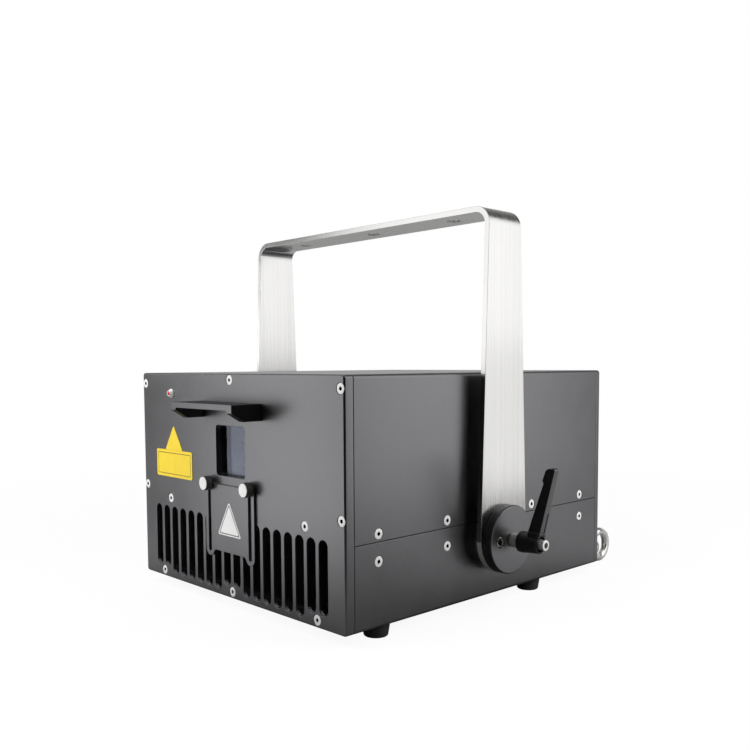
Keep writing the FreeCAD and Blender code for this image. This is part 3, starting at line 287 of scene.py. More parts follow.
    @staticmethod
    def combine(obj: Piece, tools: Sequence[Piece], how: str) -> Piece:
        """Boolean with tools, which are used up.

        Args:
            obj: Piece that is changed.
            tools: Other bodies.
            how: DIFFERENCE, UNION or INTERSECT.

        Returns:
            The changed piece.
        """
        tool = Shop.joined(tools, obj.name + "_tool")
        Shop.only(obj)
        step = obj.modifiers.new("combine", "BOOLEAN")
        step.operation = how
        step.solver = "EXACT"
        step.object = tool
        bpy.ops.object.modifier_apply(modifier=step.name)
        bpy.data.objects.remove(tool)
        return obj

    @staticmethod
    def cut(obj: Piece, *tools: Piece) -> Piece:
        """Take the tools' space out of a piece."""
        return Shop.combine(obj, tools, "DIFFERENCE")

    @staticmethod
    def bevel_where(obj: Piece, test: Callable[[Vector, Vector], bool], width: float,
                    segments: int = 2) -> None:
        """Bevel the edges that a test picks.

        Args:
            obj: Piece to bevel.
            test: Takes an edge's two ends in millimetres and says whether it is bevelled.
            width: Width of the bevel.
            segments: Rows of faces across it.
        """
        mesh = obj.data
        Shop.clear_picks(mesh)
        for edge in mesh.edges:
            a, b = (mesh.vertices[i].co / MM for i in edge.vertices)
            edge.select = test(a, b)
        Shop.bevel_picked(obj, width, segments)

    @staticmethod
    def bevel_ends(obj: Piece, y: float, width: float, segments: int = 2) -> None:
        """Bevel the edges that lie in a plane across Y."""
        Shop.bevel_where(obj, lambda a, b: abs(a.y - y) < NEAR and abs(b.y - y) < NEAR, width, segments)

    @staticmethod
    def bevel_long(obj: Piece, heights: Sequence[float], width: float, segments: int) -> None:
        """Bevel the edges along Y that lie at some heights.

        Args:
            obj: Box-shaped piece.
            heights: Heights of the edges.
            width: Width of the bevel.
            segments: Rows of faces across it.
        """
        def picked(a: Vector, b: Vector) -> bool:
            """Whether an edge runs along Y at one of the heights."""
            return abs(a.y - b.y) > SLACK and min(abs(a.z - z) for z in heights) < NEAR

        Shop.bevel_where(obj, picked, width, segments)

    @staticmethod
    def bevel_picked(obj: Piece, width: float, segments: int) -> None:
        """Bevel the edges that are selected."""
        for edge in obj.data.edges:
            if edge.select:
                for i in edge.vertices:
                    obj.data.vertices[i].select = True
        with Shop.editing(obj, "EDGE"):
            bpy.ops.mesh.bevel(offset=width * MM, segments=segments, affect="EDGES", clamp_overlap=True)

    @staticmethod
    def bevel_rims(obj: Piece, y: float, inside: Callable[[Vector], bool], width: float,
                   wall_lean: float = 0.3) -> None:
        """Bevel the rims of openings in a face across Y.

        Args:
            obj: Plate with openings.
            y: Place of the face.
            inside: Says whether a point in millimetres belongs to an opening's rim.
            width: Width of the bevel.
            wall_lean: Share of an opening's wall normals along Y, at most.
        """
        mesh = obj.data
        Shop.clear_picks(mesh)
        keys = {edge.key: edge for edge in mesh.edges}
        for poly in mesh.polygons:
            if abs(poly.normal.y) > wall_lean:
                continue
            for key in poly.edge_keys:
                ends = [mesh.vertices[i].co / MM for i in key]
                if all(abs(p.y - y) < NEAR and inside(p) for p in ends):
                    keys[key].select = True
        Shop.bevel_picked(obj, width, segments=2)

    @staticmethod
    def mark(obj: Piece, test: Callable[[Vector, Vector], bool]) -> None:
        """Mark faces for a second surface.

        Args:
            obj: Piece in its place.
            test: Takes a face's middle in millimetres and its normal, and says whether the face is marked.
        """
        for poly in obj.data.polygons:
            if test(poly.center / MM, poly.normal):
                poly.material_index = 1

    @staticmethod
    def key_socket(obj: Piece, flats: float, top: float, deep: float) -> None:
        """Cut a key socket in a screw that faces +Z, and mark its faces for a darker second surface: painted
        shade in the socket.

        Args:
            obj: Screw.
            flats: Width of the key across its flats.
            top: Height of the head's face.
            deep: Depth of the socket.
        """
        Shop.cut(obj, Shop.slab("key", hexagon(flats), deep + OVERRUN, Facing.UP, (0, 0, top - deep)))
        r, low, high = flats / math.sqrt(3) + SLACK, top - deep - SLACK, top - SLACK / 2
        Shop.mark(obj, lambda c, n: math.hypot(c.x, c.y) < r and low < c.z < high)

    @staticmethod
    def soften(obj: Piece, width: float, segments: int = 2, angle: float = 35,
               clamp: bool = True) -> Piece:
        """Bevel every edge that is sharper than an angle.

        Args:
            obj: Piece to soften.
            width: Width of the bevel.
            segments: Rows of faces across it.
            angle: Least angle between two faces, in degrees.
            clamp: Whether short edges limit the width.

        Returns:
            The softened piece.
        """
        Shop.only(obj)
        step = obj.modifiers.new("soften", "BEVEL")
        step.width = width * MM
        step.segments = segments
        step.limit_method = "ANGLE"
        step.angle_limit = math.radians(angle)
        step.harden_normals = False
        step.use_clamp_overlap = clamp
        bpy.ops.object.modifier_apply(modifier=step.name)
        return obj

    @staticmethod
    def smooth(obj: Piece, angle: float = 32) -> Piece:
        """Shade smooth across edges flatter than an angle, with large faces kept flat."""
        Shop.only(obj)
        bpy.ops.object.shade_smooth_by_angle(angle=math.radians(angle))
        step = obj.modifiers.new("facing", "WEIGHTED_NORMAL")
        step.keep_sharp = True
        bpy.ops.object.modifier_apply(modifier=step.name)
        return obj


def arc(centre: Point2, r: float, start: float, end: float, steps: int = 8) -> List[Point2]:
    """Points of an arc.

    Args:
        centre: Middle of the circle.
        r: Radius.
        start: First angle in degrees.
        end: Last angle in degrees.
        steps: Steps between them.

    Returns:
        Points from the first angle to the last.
    """
    turns = [math.radians(start + (end - start) * i / steps) for i in range(steps + 1)]
    return [(centre[0] + r * math.cos(a), centre[1] + r * math.sin(a)) for a in turns]


def round_rect(x0: float, x1: float, z0: float, z1: float, r: float, steps: int = 5) -> List[Point2]:
    """Outline of a rectangle with round corners."""
    corners = ((x1 - r, z1 - r, 0), (x0 + r, z1 - r, 90), (x0 + r, z0 + r, 180), (x1 - r, z0 + r, 270))
    return [p for x, z, turn in corners for p in arc((x, z), r, turn, turn + 90, steps)]


def round_polygon(points: Line, r: float, steps: int = 5) -> List[Point2]:
    """Outline of a convex polygon with round corners.

    Args:
        points: Corners, anticlockwise.
        r: Radius of every corner.
        steps: Steps of each corner.

    Returns:
        Points of the rounded outline.
    """
    out: List[Point2] = []
    for i, here in enumerate(points):
        p, a, b = Vector(here), Vector(points[i - 1]), Vector(points[(i + 1) % len(points)])
        u, v = (a - p).normalized(), (b - p).normalized()
        half = math.acos(max(-1.0, min(1.0, u.dot(v)))) / 2
        middle = p + (u + v).normalized() * (r / math.sin(half))
        touch = p + u * (r / math.tan(half)) - middle
        start = math.degrees(math.atan2(touch.y, touch.x))
        out += arc((middle.x, middle.y), r, start, start + 180 - 2 * math.degrees(half), steps)
    return out


def hexagon(flats: float) -> List[Point2]:
    """Outline of a hexagon by its width across flats."""
    return arc((0, 0), flats / math.sqrt(3), 30, 330, 5)


def raised(line: Line, up: float) -> List[Point2]:
    """Line moved along its second axis."""
    return [(a, b + up) for a, b in line]


class Nodes:
    """Node tree, with the few sums that its users share."""

    def __init__(self, tree: bpy.types.NodeTree) -> None:
        """Take over a tree."""
        self.tree = tree

    def link(self, a: NodeSocket, b: NodeSocket) -> None:
        """Join two sockets."""
        self.tree.links.new(a, b)

    def feed(self, value: object, socket: NodeSocket) -> None:
        """Join a socket, or set a number, on an input."""
        if isinstance(value, NodeSocket):
            self.link(value, socket)
        else:
            socket.default_value = value

    def sums(self, how: str, a: object, b: object = 0.0) -> NodeSocket:
        """Math node on sockets or numbers."""
        node = self.tree.nodes.new("ShaderNodeMath")
        node.operation = how
        self.feed(a, node.inputs[0])
        self.feed(b, node.inputs[1])
        return node.outputs[0]

    def towards(self, vector: NodeSocket, way: Sequence[float]) -> NodeSocket:
        """Length of a vector along a fixed direction; for a unit vector, the cosine between them."""
        node = self.tree.nodes.new("ShaderNodeVectorMath")
        node.operation = "DOT_PRODUCT"
        self.link(vector, node.inputs[0])
        node.inputs[1].default_value = Vector(way).normalized()
        return node.outputs["Value"]

    def ramp(self, value: NodeSocket, start: float, end: float, low: float, high: float,
             how: str = "SMOOTHSTEP") -> NodeSocket:
        """Step of a value between two levels.

        Args:
            value: What is stepped.
            start: Value up to which the result is low.
            end: Value from which it is high.
            low: Result below the step.
            high: Result above the step.
            how: Kind of step, as Blender names it.

        Returns:
            Result of the step.
        """
        node = self.tree.nodes.new("ShaderNodeMapRange")
        node.interpolation_type = how
        self.link(value, node.inputs["Value"])
        for name, number in (("From Min", start), ("From Max", end), ("To Min", low), ("To Max", high)):
            node.inputs[name].default_value = number
        return node.outputs["Result"]

    def between(self, fac: object, a: object, b: object) -> NodeSocket:
        """Number between two numbers; each of the three is a socket or a number."""
        node = self.tree.nodes.new("ShaderNodeMix")
        self.feed(fac, node.inputs["Factor"])
        self.feed(a, node.inputs["A"])
        self.feed(b, node.inputs["B"])
        return node.outputs["Result"]

    def rays(self) -> Tuple[NodeSocket, NodeSocket]:
        """Whether a ray is the camera's, and whether it was mirrored or let through."""
        path = self.tree.nodes.new("ShaderNodeLightPath").outputs
        return path["Is Camera Ray"], self.sums("MAXIMUM", path["Is Glossy Ray"], path["Is Transmission Ray"])


class Wiring(Nodes):
    """Node tree of one material, with its surface shader."""

    def __init__(self, material: bpy.types.Material) -> None:
        """Clear a material's nodes and give it a fresh surface shader."""
        material.use_nodes = True
        super().__init__(material.node_tree)
        self.tree.nodes.clear()
        self.out = self.tree.nodes.new("ShaderNodeOutputMaterial")
        self.shader = self.tree.nodes.new("ShaderNodeBsdfPrincipled")
        self.link(self.shader.outputs["BSDF"], self.out.inputs["Surface"])
        self.coords = self.tree.nodes.new("ShaderNodeTexCoord").outputs["Object"]

    def set(self, **values: object) -> None:
        """Set the shader's own sockets; underscores stand for spaces in their names."""
        for key, value in values.items():
            self.shader.inputs[key.replace("_", " ")].default_value = value

    def stretched(self, scale: Point3, shift: Point3 = (0, 0, 0)) -> NodeSocket:
        """Object coordinates, moved and scaled."""
        node = self.tree.nodes.new("ShaderNodeMapping")
        node.inputs["Scale"].default_value = scale
        node.inputs["Location"].default_value = shift
        self.link(self.coords, node.inputs["Vector"])
        return node.outputs["Vector"]

    def noise(self, vector: NodeSocket, scale: float, detail: float = 4.0,
              rough: float = 0.55) -> NodeSocket:
        """Noise texture's factor.

        Args:
            vector: Coordinates.
            scale: Cells per metre of the coordinates.
            detail: Octaves.
            rough: Share of the finer octaves.

        Returns:
            Socket from 0 to 1.
        """
        node = self.tree.nodes.new("ShaderNodeTexNoise")
        node.inputs["Scale"].default_value = scale
        node.inputs["Detail"].default_value = detail
        node.inputs["Roughness"].default_value = rough
        self.link(vector, node.inputs["Vector"])
        return node.outputs["Fac"]

    def spread(self, fac: NodeSocket, low: float, high: float) -> NodeSocket:
        """Noise factor, which mostly stays between 0.3 and 0.7, stretched to a range of values."""
        return self.ramp(fac, 0.3, 0.7, low, high, "LINEAR")

    def blend(self, fac: NodeSocket, a: object, b: object) -> NodeSocket:
        """Colour between two colours, each a socket or a fixed colour."""
        node = self.tree.nodes.new("ShaderNodeMix")
        node.data_type = "RGBA"
        self.link(fac, node.inputs["Factor"])
        first, second = (socket for socket in node.inputs if socket.type == "RGBA")
        self.feed(a, first)
        self.feed(b, second)
        return next(socket for socket in node.outputs if socket.type == "RGBA")

    def mixed(self, fac: NodeSocket, a: Rgb, b: Rgb) -> NodeSocket:
        """Colour between two fixed colours."""
        return self.blend(fac, (*a, 1), (*b, 1))

    def colour(self, fac: NodeSocket, dark: Rgb, light: Rgb) -> None:
        """Colour the surface by a noise, from dark to light."""
        self.link(self.mixed(self.spread(fac, 0, 1), dark, light), self.shader.inputs["Base Color"])

    def axes(self) -> Dict[str, NodeSocket]:
        """Object coordinates one by one."""
        node = self.tree.nodes.new("ShaderNodeSeparateXYZ")
        self.link(self.coords, node.inputs[0])
        return {name: node.outputs[name] for name in "XYZ"}

    def bump(self, height: NodeSocket, strength: float, depth: float) -> None:
        """Small relief on the surface.

        Args:
            height: Height from 0 to 1.
            strength: Share of the relief that shows.
            depth: Depth in millimetres.
        """
        node = self.tree.nodes.new("ShaderNodeBump")
        node.inputs["Strength"].default_value = strength
        node.inputs["Distance"].default_value = depth * MM
        self.link(height, node.inputs["Height"])
        self.link(node.outputs["Normal"], self.shader.inputs["Normal"])


_MADE: Dict[str, bpy.types.Material] = {}


@dataclass(frozen=True)
class Finish:
    """Surface of a piece, made into a material once."""

    name: str
    slot: str

    def material(self) -> bpy.types.Material:
        """Material of this finish."""
        if self.name not in _MADE:
            made = bpy.data.materials.new(self.name)
            self.wire(Wiring(made))
            _MADE[self.name] = made
        return _MADE[self.name]

    def wire(self, w: Wiring) -> None:
        """Lay the nodes; each kind of finish has its own."""
        raise NotImplementedError


@dataclass(frozen=True)
class Anodised(Finish):
    """Blasted and dyed aluminium: a fine matt grain with a faint cloudiness."""

    light: Rgb = (0.267, 0.267, 0.276)
    dark: Rgb = (0.227, 0.227, 0.235)
    rough: Range = (0.30, 0.38)
    grain: float = 1100.0
    relief: float = 0.010
    relief_share: float = 0.5
    glance: float = 0.85
    clouds: float = 38.0
    grain_share: float = 0.6

    def wire(self, w: Wiring) -> None:
        """Cloudy colour, grainy roughness and relief."""
        cloud = w.noise(w.coords, self.clouds, detail=3.0)
        grain = w.noise(w.coords, self.grain, detail=2.0, rough=0.6)
        both = w.between(self.grain_share, cloud, grain)
        w.colour(both, self.dark, self.light)
        w.feed(w.spread(both, *self.rough), w.shader.inputs["Roughness"])
        w.bump(grain, self.relief_share, self.relief)
        w.set(Metallic=1.0, Specular_Tint=(self.glance, self.glance, self.glance, 1.0))


@dataclass(frozen=True)
class Brushed(Finish):
    """Metal brushed along its length: long fine streaks that run across Y."""

    light: Rgb = (0.775, 0.77, 0.757)
    dark: Rgb = (0.665, 0.66, 0.647)
    rough: Range = (0.16, 0.26)
    fine: Point3 = (1.2, 800.0, 1.2)
    broad: Point3 = (0.8, 240.0, 0.8)
    broad_shift: Point3 = (0.3, 0.1, 0.7)
    fine_share: float = 0.65

    def wire(self, w: Wiring) -> None:
        """Streaks in colour and roughness."""
        fine = w.noise(w.stretched(self.fine), 1.0, detail=1.0, rough=0.5)
        broad = w.noise(w.stretched(self.broad, self.broad_shift), 1.0, detail=1.0, rough=0.5)
        streak = w.between(self.fine_share, broad, fine)
        w.colour(streak, self.dark, self.light)
        w.feed(w.spread(fine, *self.rough), w.shader.inputs["Roughness"])
        w.set(Metallic=1.0)


@dataclass(frozen=True)
class Plated(Finish):
    """Bright or polished metal with slight handling marks."""

    light: Rgb = (0.80, 0.80, 0.79)
    dark: Rgb = (0.66, 0.66, 0.65)
    rough: Range = (0.16, 0.28)
    metal: float = 1.0
    grain: float = 900.0
    blotches: float = 160.0
    relief: float = 0.01
    relief_share: float = 0.06

    def wire(self, w: Wiring) -> None:
        """Faint blotches and fine turning marks."""
        blotch = w.noise(w.coords, self.blotches, detail=3.0)
        marks = w.noise(w.coords, self.grain, detail=3.0)
        w.colour(blotch, self.dark, self.light)
        w.feed(w.spread(marks, *self.rough), w.shader.inputs["Roughness"])
        w.bump(marks, self.relief_share, self.relief)
        w.set(Metallic=self.metal)


@dataclass(frozen=True)
class Moulded(Finish):
    """Moulded plastic or rubber with a fine eroded grain."""

    light: Rgb = (0.022, 0.022, 0.023)
    dark: Rgb = (0.014, 0.014, 0.015)
    rough: Range = (0.40, 0.55)
    grain: float = 1500.0
    relief: float = 0.03
    relief_share: float = 0.4
    clouds: float = 90.0

    def wire(self, w: Wiring) -> None:
        """Grain in colour, roughness and relief."""
        grain = w.noise(w.coords, self.grain, detail=3.0)
        cloud = w.noise(w.coords, self.clouds, detail=2.0)
        w.colour(cloud, self.dark, self.light)
        w.feed(w.spread(grain, *self.rough), w.shader.inputs["Roughness"])
        w.bump(grain, self.relief_share, self.relief)


@dataclass(frozen=True)
class Film(Finish):
    """Satin film with a thin darker line inside its edge, on a rectangle across Y."""

    light: Rgb = (0.93, 0.70, 0.045)
    dark: Rgb = (0.88, 0.64, 0.035)
    line: Rgb = (0.30, 0.22, 0.02)
    centre: Point2 = (0.0, 0.0)
    half: Point2 = (1.0, 1.0)
    inset: float = 3.0
    width: float = 0.85
    rough: Range = (0.38, 0.5)
    clouds: float = 120.0

    def wire(self, w: Wiring) -> None:
        """Yellow with a line at a set distance from the edge."""
        axes = w.axes()
        gaps = []
        for name, c, h in zip("XZ", self.centre, self.half):
            off = w.sums("ABSOLUTE", w.sums("SUBTRACT", axes[name], c * MM))
            gaps.append(w.sums("SUBTRACT", h * MM, off))
        gap = w.sums("MINIMUM", *gaps)
        near = w.sums("ABSOLUTE", w.sums("SUBTRACT", gap, self.inset * MM))
        line = w.sums("LESS_THAN", near, self.width / 2 * MM)
        cloud = w.noise(w.coords, self.clouds, detail=3.0)
        body = w.mixed(w.spread(cloud, 0, 1), self.dark, self.light)
        w.feed(w.blend(line, body, (*self.line, 1)), w.shader.inputs["Base Color"])
        w.feed(w.spread(cloud, *self.rough), w.shader.inputs["Roughness"])


@dataclass(frozen=True)
class Clear(Finish):
    """Coated window glass, see-through with a bluish reflection."""

    tint: Rgb = (0.80, 0.86, 0.95)
    deep_tint: Rgb = (0.74, 0.82, 0.94)
    glance: Rgb = (0.66, 0.73, 1.0)
    ior: float = 1.64
    rough: Range = (0.0, 0.03)
    hazes: float = 60.0

    def wire(self, w: Wiring) -> None:
        """Transmission with faint cleaning haze."""
        haze = w.noise(w.coords, self.hazes, detail=3.0)
        w.feed(w.spread(haze, *self.rough), w.shader.inputs["Roughness"])
        w.feed(w.mixed(haze, self.tint, self.deep_tint), w.shader.inputs["Base Color"])
        w.set(Transmission_Weight=1.0, IOR=self.ior, Specular_Tint=(*self.glance, 1.0))


@dataclass(frozen=True)
class Board(Finish):
    """Solder-masked circuit board with copper lanes under the mask."""

    light: Rgb = (0.02, 0.14, 0.06)
    dark: Rgb = (0.012, 0.085, 0.035)
    rough: Range = (0.3, 0.42)
    lanes: Point3 = (40.0, 600.0, 600.0)
    lane_level: float = 0.52
    relief: float = 0.03
    relief_share: float = 0.3

    def wire(self, w: Wiring) -> None:
        """Lanes from stepped noise along two axes."""
        lanes = w.noise(w.stretched(self.lanes), 1.0, detail=1.0)
        step = w.sums("GREATER_THAN", lanes, self.lane_level)
        w.feed(w.mixed(step, self.dark, self.light), w.shader.inputs["Base Color"])
        w.feed(w.spread(lanes, *self.rough), w.shader.inputs["Roughness"])
        w.bump(step, self.relief_share, self.relief)


BLACK = Anodised("black_anodised", "black_anodised")
SHADE = Anodised("hood_anodised", "black_anodised", glance=0.25)
# Lighter grey for the lever arm's right-facing faces: a painted sheen.
LEVER_SHEEN = Anodised("lever_painted_sheen", "black_plastic", (0.200, 0.200, 0.203), (0.170, 0.170, 0.173))
YOKE = Brushed("brushed_yoke", "brushed_yoke")
# Lighter, part-diffuse colour: the rigging holes' machined chamfers, and a painted highlight on the yoke's
# lower edge.
EDGE = Plated("cut_edge_and_painted_highlight", "brushed_yoke", (0.86, 0.84, 0.79), (0.76, 0.74, 0.69), (0.3, 0.4), 0.40)
ZINC = Plated("bright_zinc", "bright_steel", (0.97, 0.97, 0.955), (0.92, 0.92, 0.905), (0.26, 0.38), 0.25)
CAP = Plated("bright_cap", "bright_steel", (0.80, 0.79, 0.77), (0.72, 0.71, 0.69), (0.08, 0.14))
# Dark brown for the inside of key sockets: painted shade in the recess.
SOCKET_SHADE = Plated("key_socket", "bright_steel", (0.10, 0.095, 0.085), (0.06, 0.055, 0.05), (0.4, 0.5))
FACED = Plated("turned_aluminium", "bare_aluminium", (0.95, 0.95, 0.935), (0.88, 0.88, 0.865), (0.3, 0.42),
               0.5)
KNURL = Plated("knurled_steel", "bare_aluminium", (0.42, 0.41, 0.39), (0.30, 0.29, 0.28), (0.35, 0.5), 0.7)
MILLED = Plated("milled_aluminium", "bare_aluminium", (0.66, 0.67, 0.68), (0.56, 0.57, 0.58), (0.3, 0.42))
CHROME = Plated("polished_chrome", "chrome", (0.90, 0.89, 0.87), (0.84, 0.83, 0.81), (0.10, 0.16), 0.9)
# The stud's own colour, and painted shade on the lever screw's flank and socket.
STUD_AND_FLANK_SHADE = Plated("bright_stud_and_painted_flank_shade", "black_steel", (0.62, 0.60, 0.57), (0.50, 0.48, 0.45), (0.16, 0.24), 0.7)
OXIDE = Plated("black_oxide", "black_steel", (0.24, 0.24, 0.24), (0.16, 0.16, 0.16), (0.25, 0.36))
MIRROR = Plated("front_mirror", "front_mirror", (0.88, 0.89, 0.9), (0.86, 0.87, 0.88), (0.01, 0.03))
SHEET = Plated("zinc_sheet", "galvanised", (0.52, 0.53, 0.54), (0.40, 0.41, 0.42), (0.32, 0.5))
PLASTIC = Moulded("black_plastic", "black_plastic")
LEVER = Moulded("lever_plastic", "black_plastic", (0.007, 0.007, 0.008), (0.005, 0.005, 0.006), (0.34, 0.46))
# Near-black colour: the friction ring's own, and painted shade on the clamp disc's rim and the window's
# sides.
RING_BLACK_AND_SHADE = Moulded("ring_black_and_painted_shade", "black_anodised", (0.016, 0.016, 0.017), (0.010, 0.010, 0.011), (0.25, 0.34),
              relief=0.006)
# Lighter bluish colour for the vents' lower ends that face up and right: a painted highlight.
SILL_HIGHLIGHT = Moulded("slot_sill_painted_highlight", "black_anodised", (0.190, 0.197, 0.212), (0.160, 0.166, 0.178))
RUBBER = Moulded("foot_rubber", "black_rubber", (0.034, 0.034, 0.034), (0.024, 0.024, 0.024), (0.55, 0.7))
WHITE = Moulded("white_print", "yellow_film", (0.95, 0.95, 0.94), (0.90, 0.90, 0.89), (0.4, 0.5))
LENS = Moulded("red_lens", "red_lens", (0.62, 0.025, 0.012), (0.50, 0.018, 0.010), (0.1, 0.16), relief=0.004)
GLASS = Clear("window_glass", "clear_glass")
BOARD = Board("circuit_board", "circuit_board")
BY_SLOT: Dict[str, Finish] = {
    "black_anodised": BLACK, "bare_aluminium": MILLED, "brushed_yoke": YOKE, "bright_steel": ZINC,
    "black_steel": OXIDE, "chrome": CHROME, "black_rubber": RUBBER, "black_plastic": PLASTIC,
    "clear_glass": GLASS, "red_lens": LENS, "front_mirror": MIRROR, "circuit_board": BOARD,
    "galvanised": SHEET,
}


def dress(obj: Piece, finish: Finish, body: str, *nodes: str, sunk: Optional[Finish] = None) -> Piece:
    """Give a piece its finish, its body and the nodes that it stands for.

    Args:
        obj: Finished mesh.
        finish: Its surface.
        body: Body that it moves with.
        nodes: CAD nodes that it replaces.
        sunk: Surface of the faces that were marked, if any.

    Returns:
        The piece.
    """
    obj.data.name = obj.name
    for surface in (finish, sunk or finish):
        obj.data.materials.append(surface.material())
    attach(obj, body)
    if nodes:
        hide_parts(*nodes)
    LOG.info("%s on %s, %d faces", obj.name, body, len(obj.data.polygons))
    return obj


@dataclass
class Layout:
    """Sizes and places that several sub-assemblies share."""

    half_w: float = 152.2
    y_mid: float = -3.0
    box_d: float = 351.3
    z_under: float = 11.0
    z_top: float = 211.0
    front_t: float = 9.0
    rear_t: float = 6.5
    z_pivot: float = 64.0
    z_seam: float = 79.6
    edge_in: float = 4.7
    top_in: float = 5.6
    low_in: float = 6.2
    low_x: float = 117.5
    corner_drop: float = 10.5
    edge_up: float = 88.8
    mid_x: float = 103.0
    mid_up: float = 79.0
    side_shares: Tuple[float, ...] = (-0.4, -0.17, 0.17, 0.4)
    side_ups: Point2 = (75.0, 53.0)
    window_half: float = 22.2
    window_low: float = 120.0
    window_high: float = 165.0
    inlet: Point2 = (112.0, 151.0)
    key: Point2 = (60.0, 166.0)
    data: Tuple[Point2, Point2] = ((-5.0, 125.0), (-5.0, 145.0))
    signal: Tuple[Point2, Point2] = ((-62.0, 146.0), (-102.0, 146.0))

    @property
    def y_front(self) -> float:
        """Face of the front plate."""
        return self.y_mid - self.box_d / 2

    @property
    def y_rear(self) -> float:
        """Face of the rear plate."""
        return self.y_mid + self.box_d / 2

    @property
    def y_in_front(self) -> float:
        """Inside of the front plate."""
        return self.y_front + self.front_t

    @property
    def y_in_rear(self) -> float:
        """Inside of the rear plate."""
        return self.y_rear - self.rear_t

    def plate_spots(self, y: float) -> List[Point3]:
        """Middles of the ten screws of an end plate whose face is at a place along Y."""
        edge = self.half_w - self.edge_in
        low = self.z_under + self.low_in
        spots = [(0.0, y, self.z_top - self.top_in), (0.0, y, low)]
        for side in (-1, 1):
            spots += [(side * edge, y, self.z_top - self.corner_drop),
                      (side * edge, y, self.z_under + self.edge_up),
                      (side * self.mid_x, y, self.z_under + self.mid_up), (side * self.low_x, y, low)]
        return spots

    def side_spots(self, x: float, *ups: float) -> List[Point3]:
        """Middles of the screws of the side at a place along X, in rows at heights above the underside."""
        places = [self.y_mid + share * self.box_d for share in self.side_shares]
        return [(x, y, self.z_under + up) for up in ups for y in places]


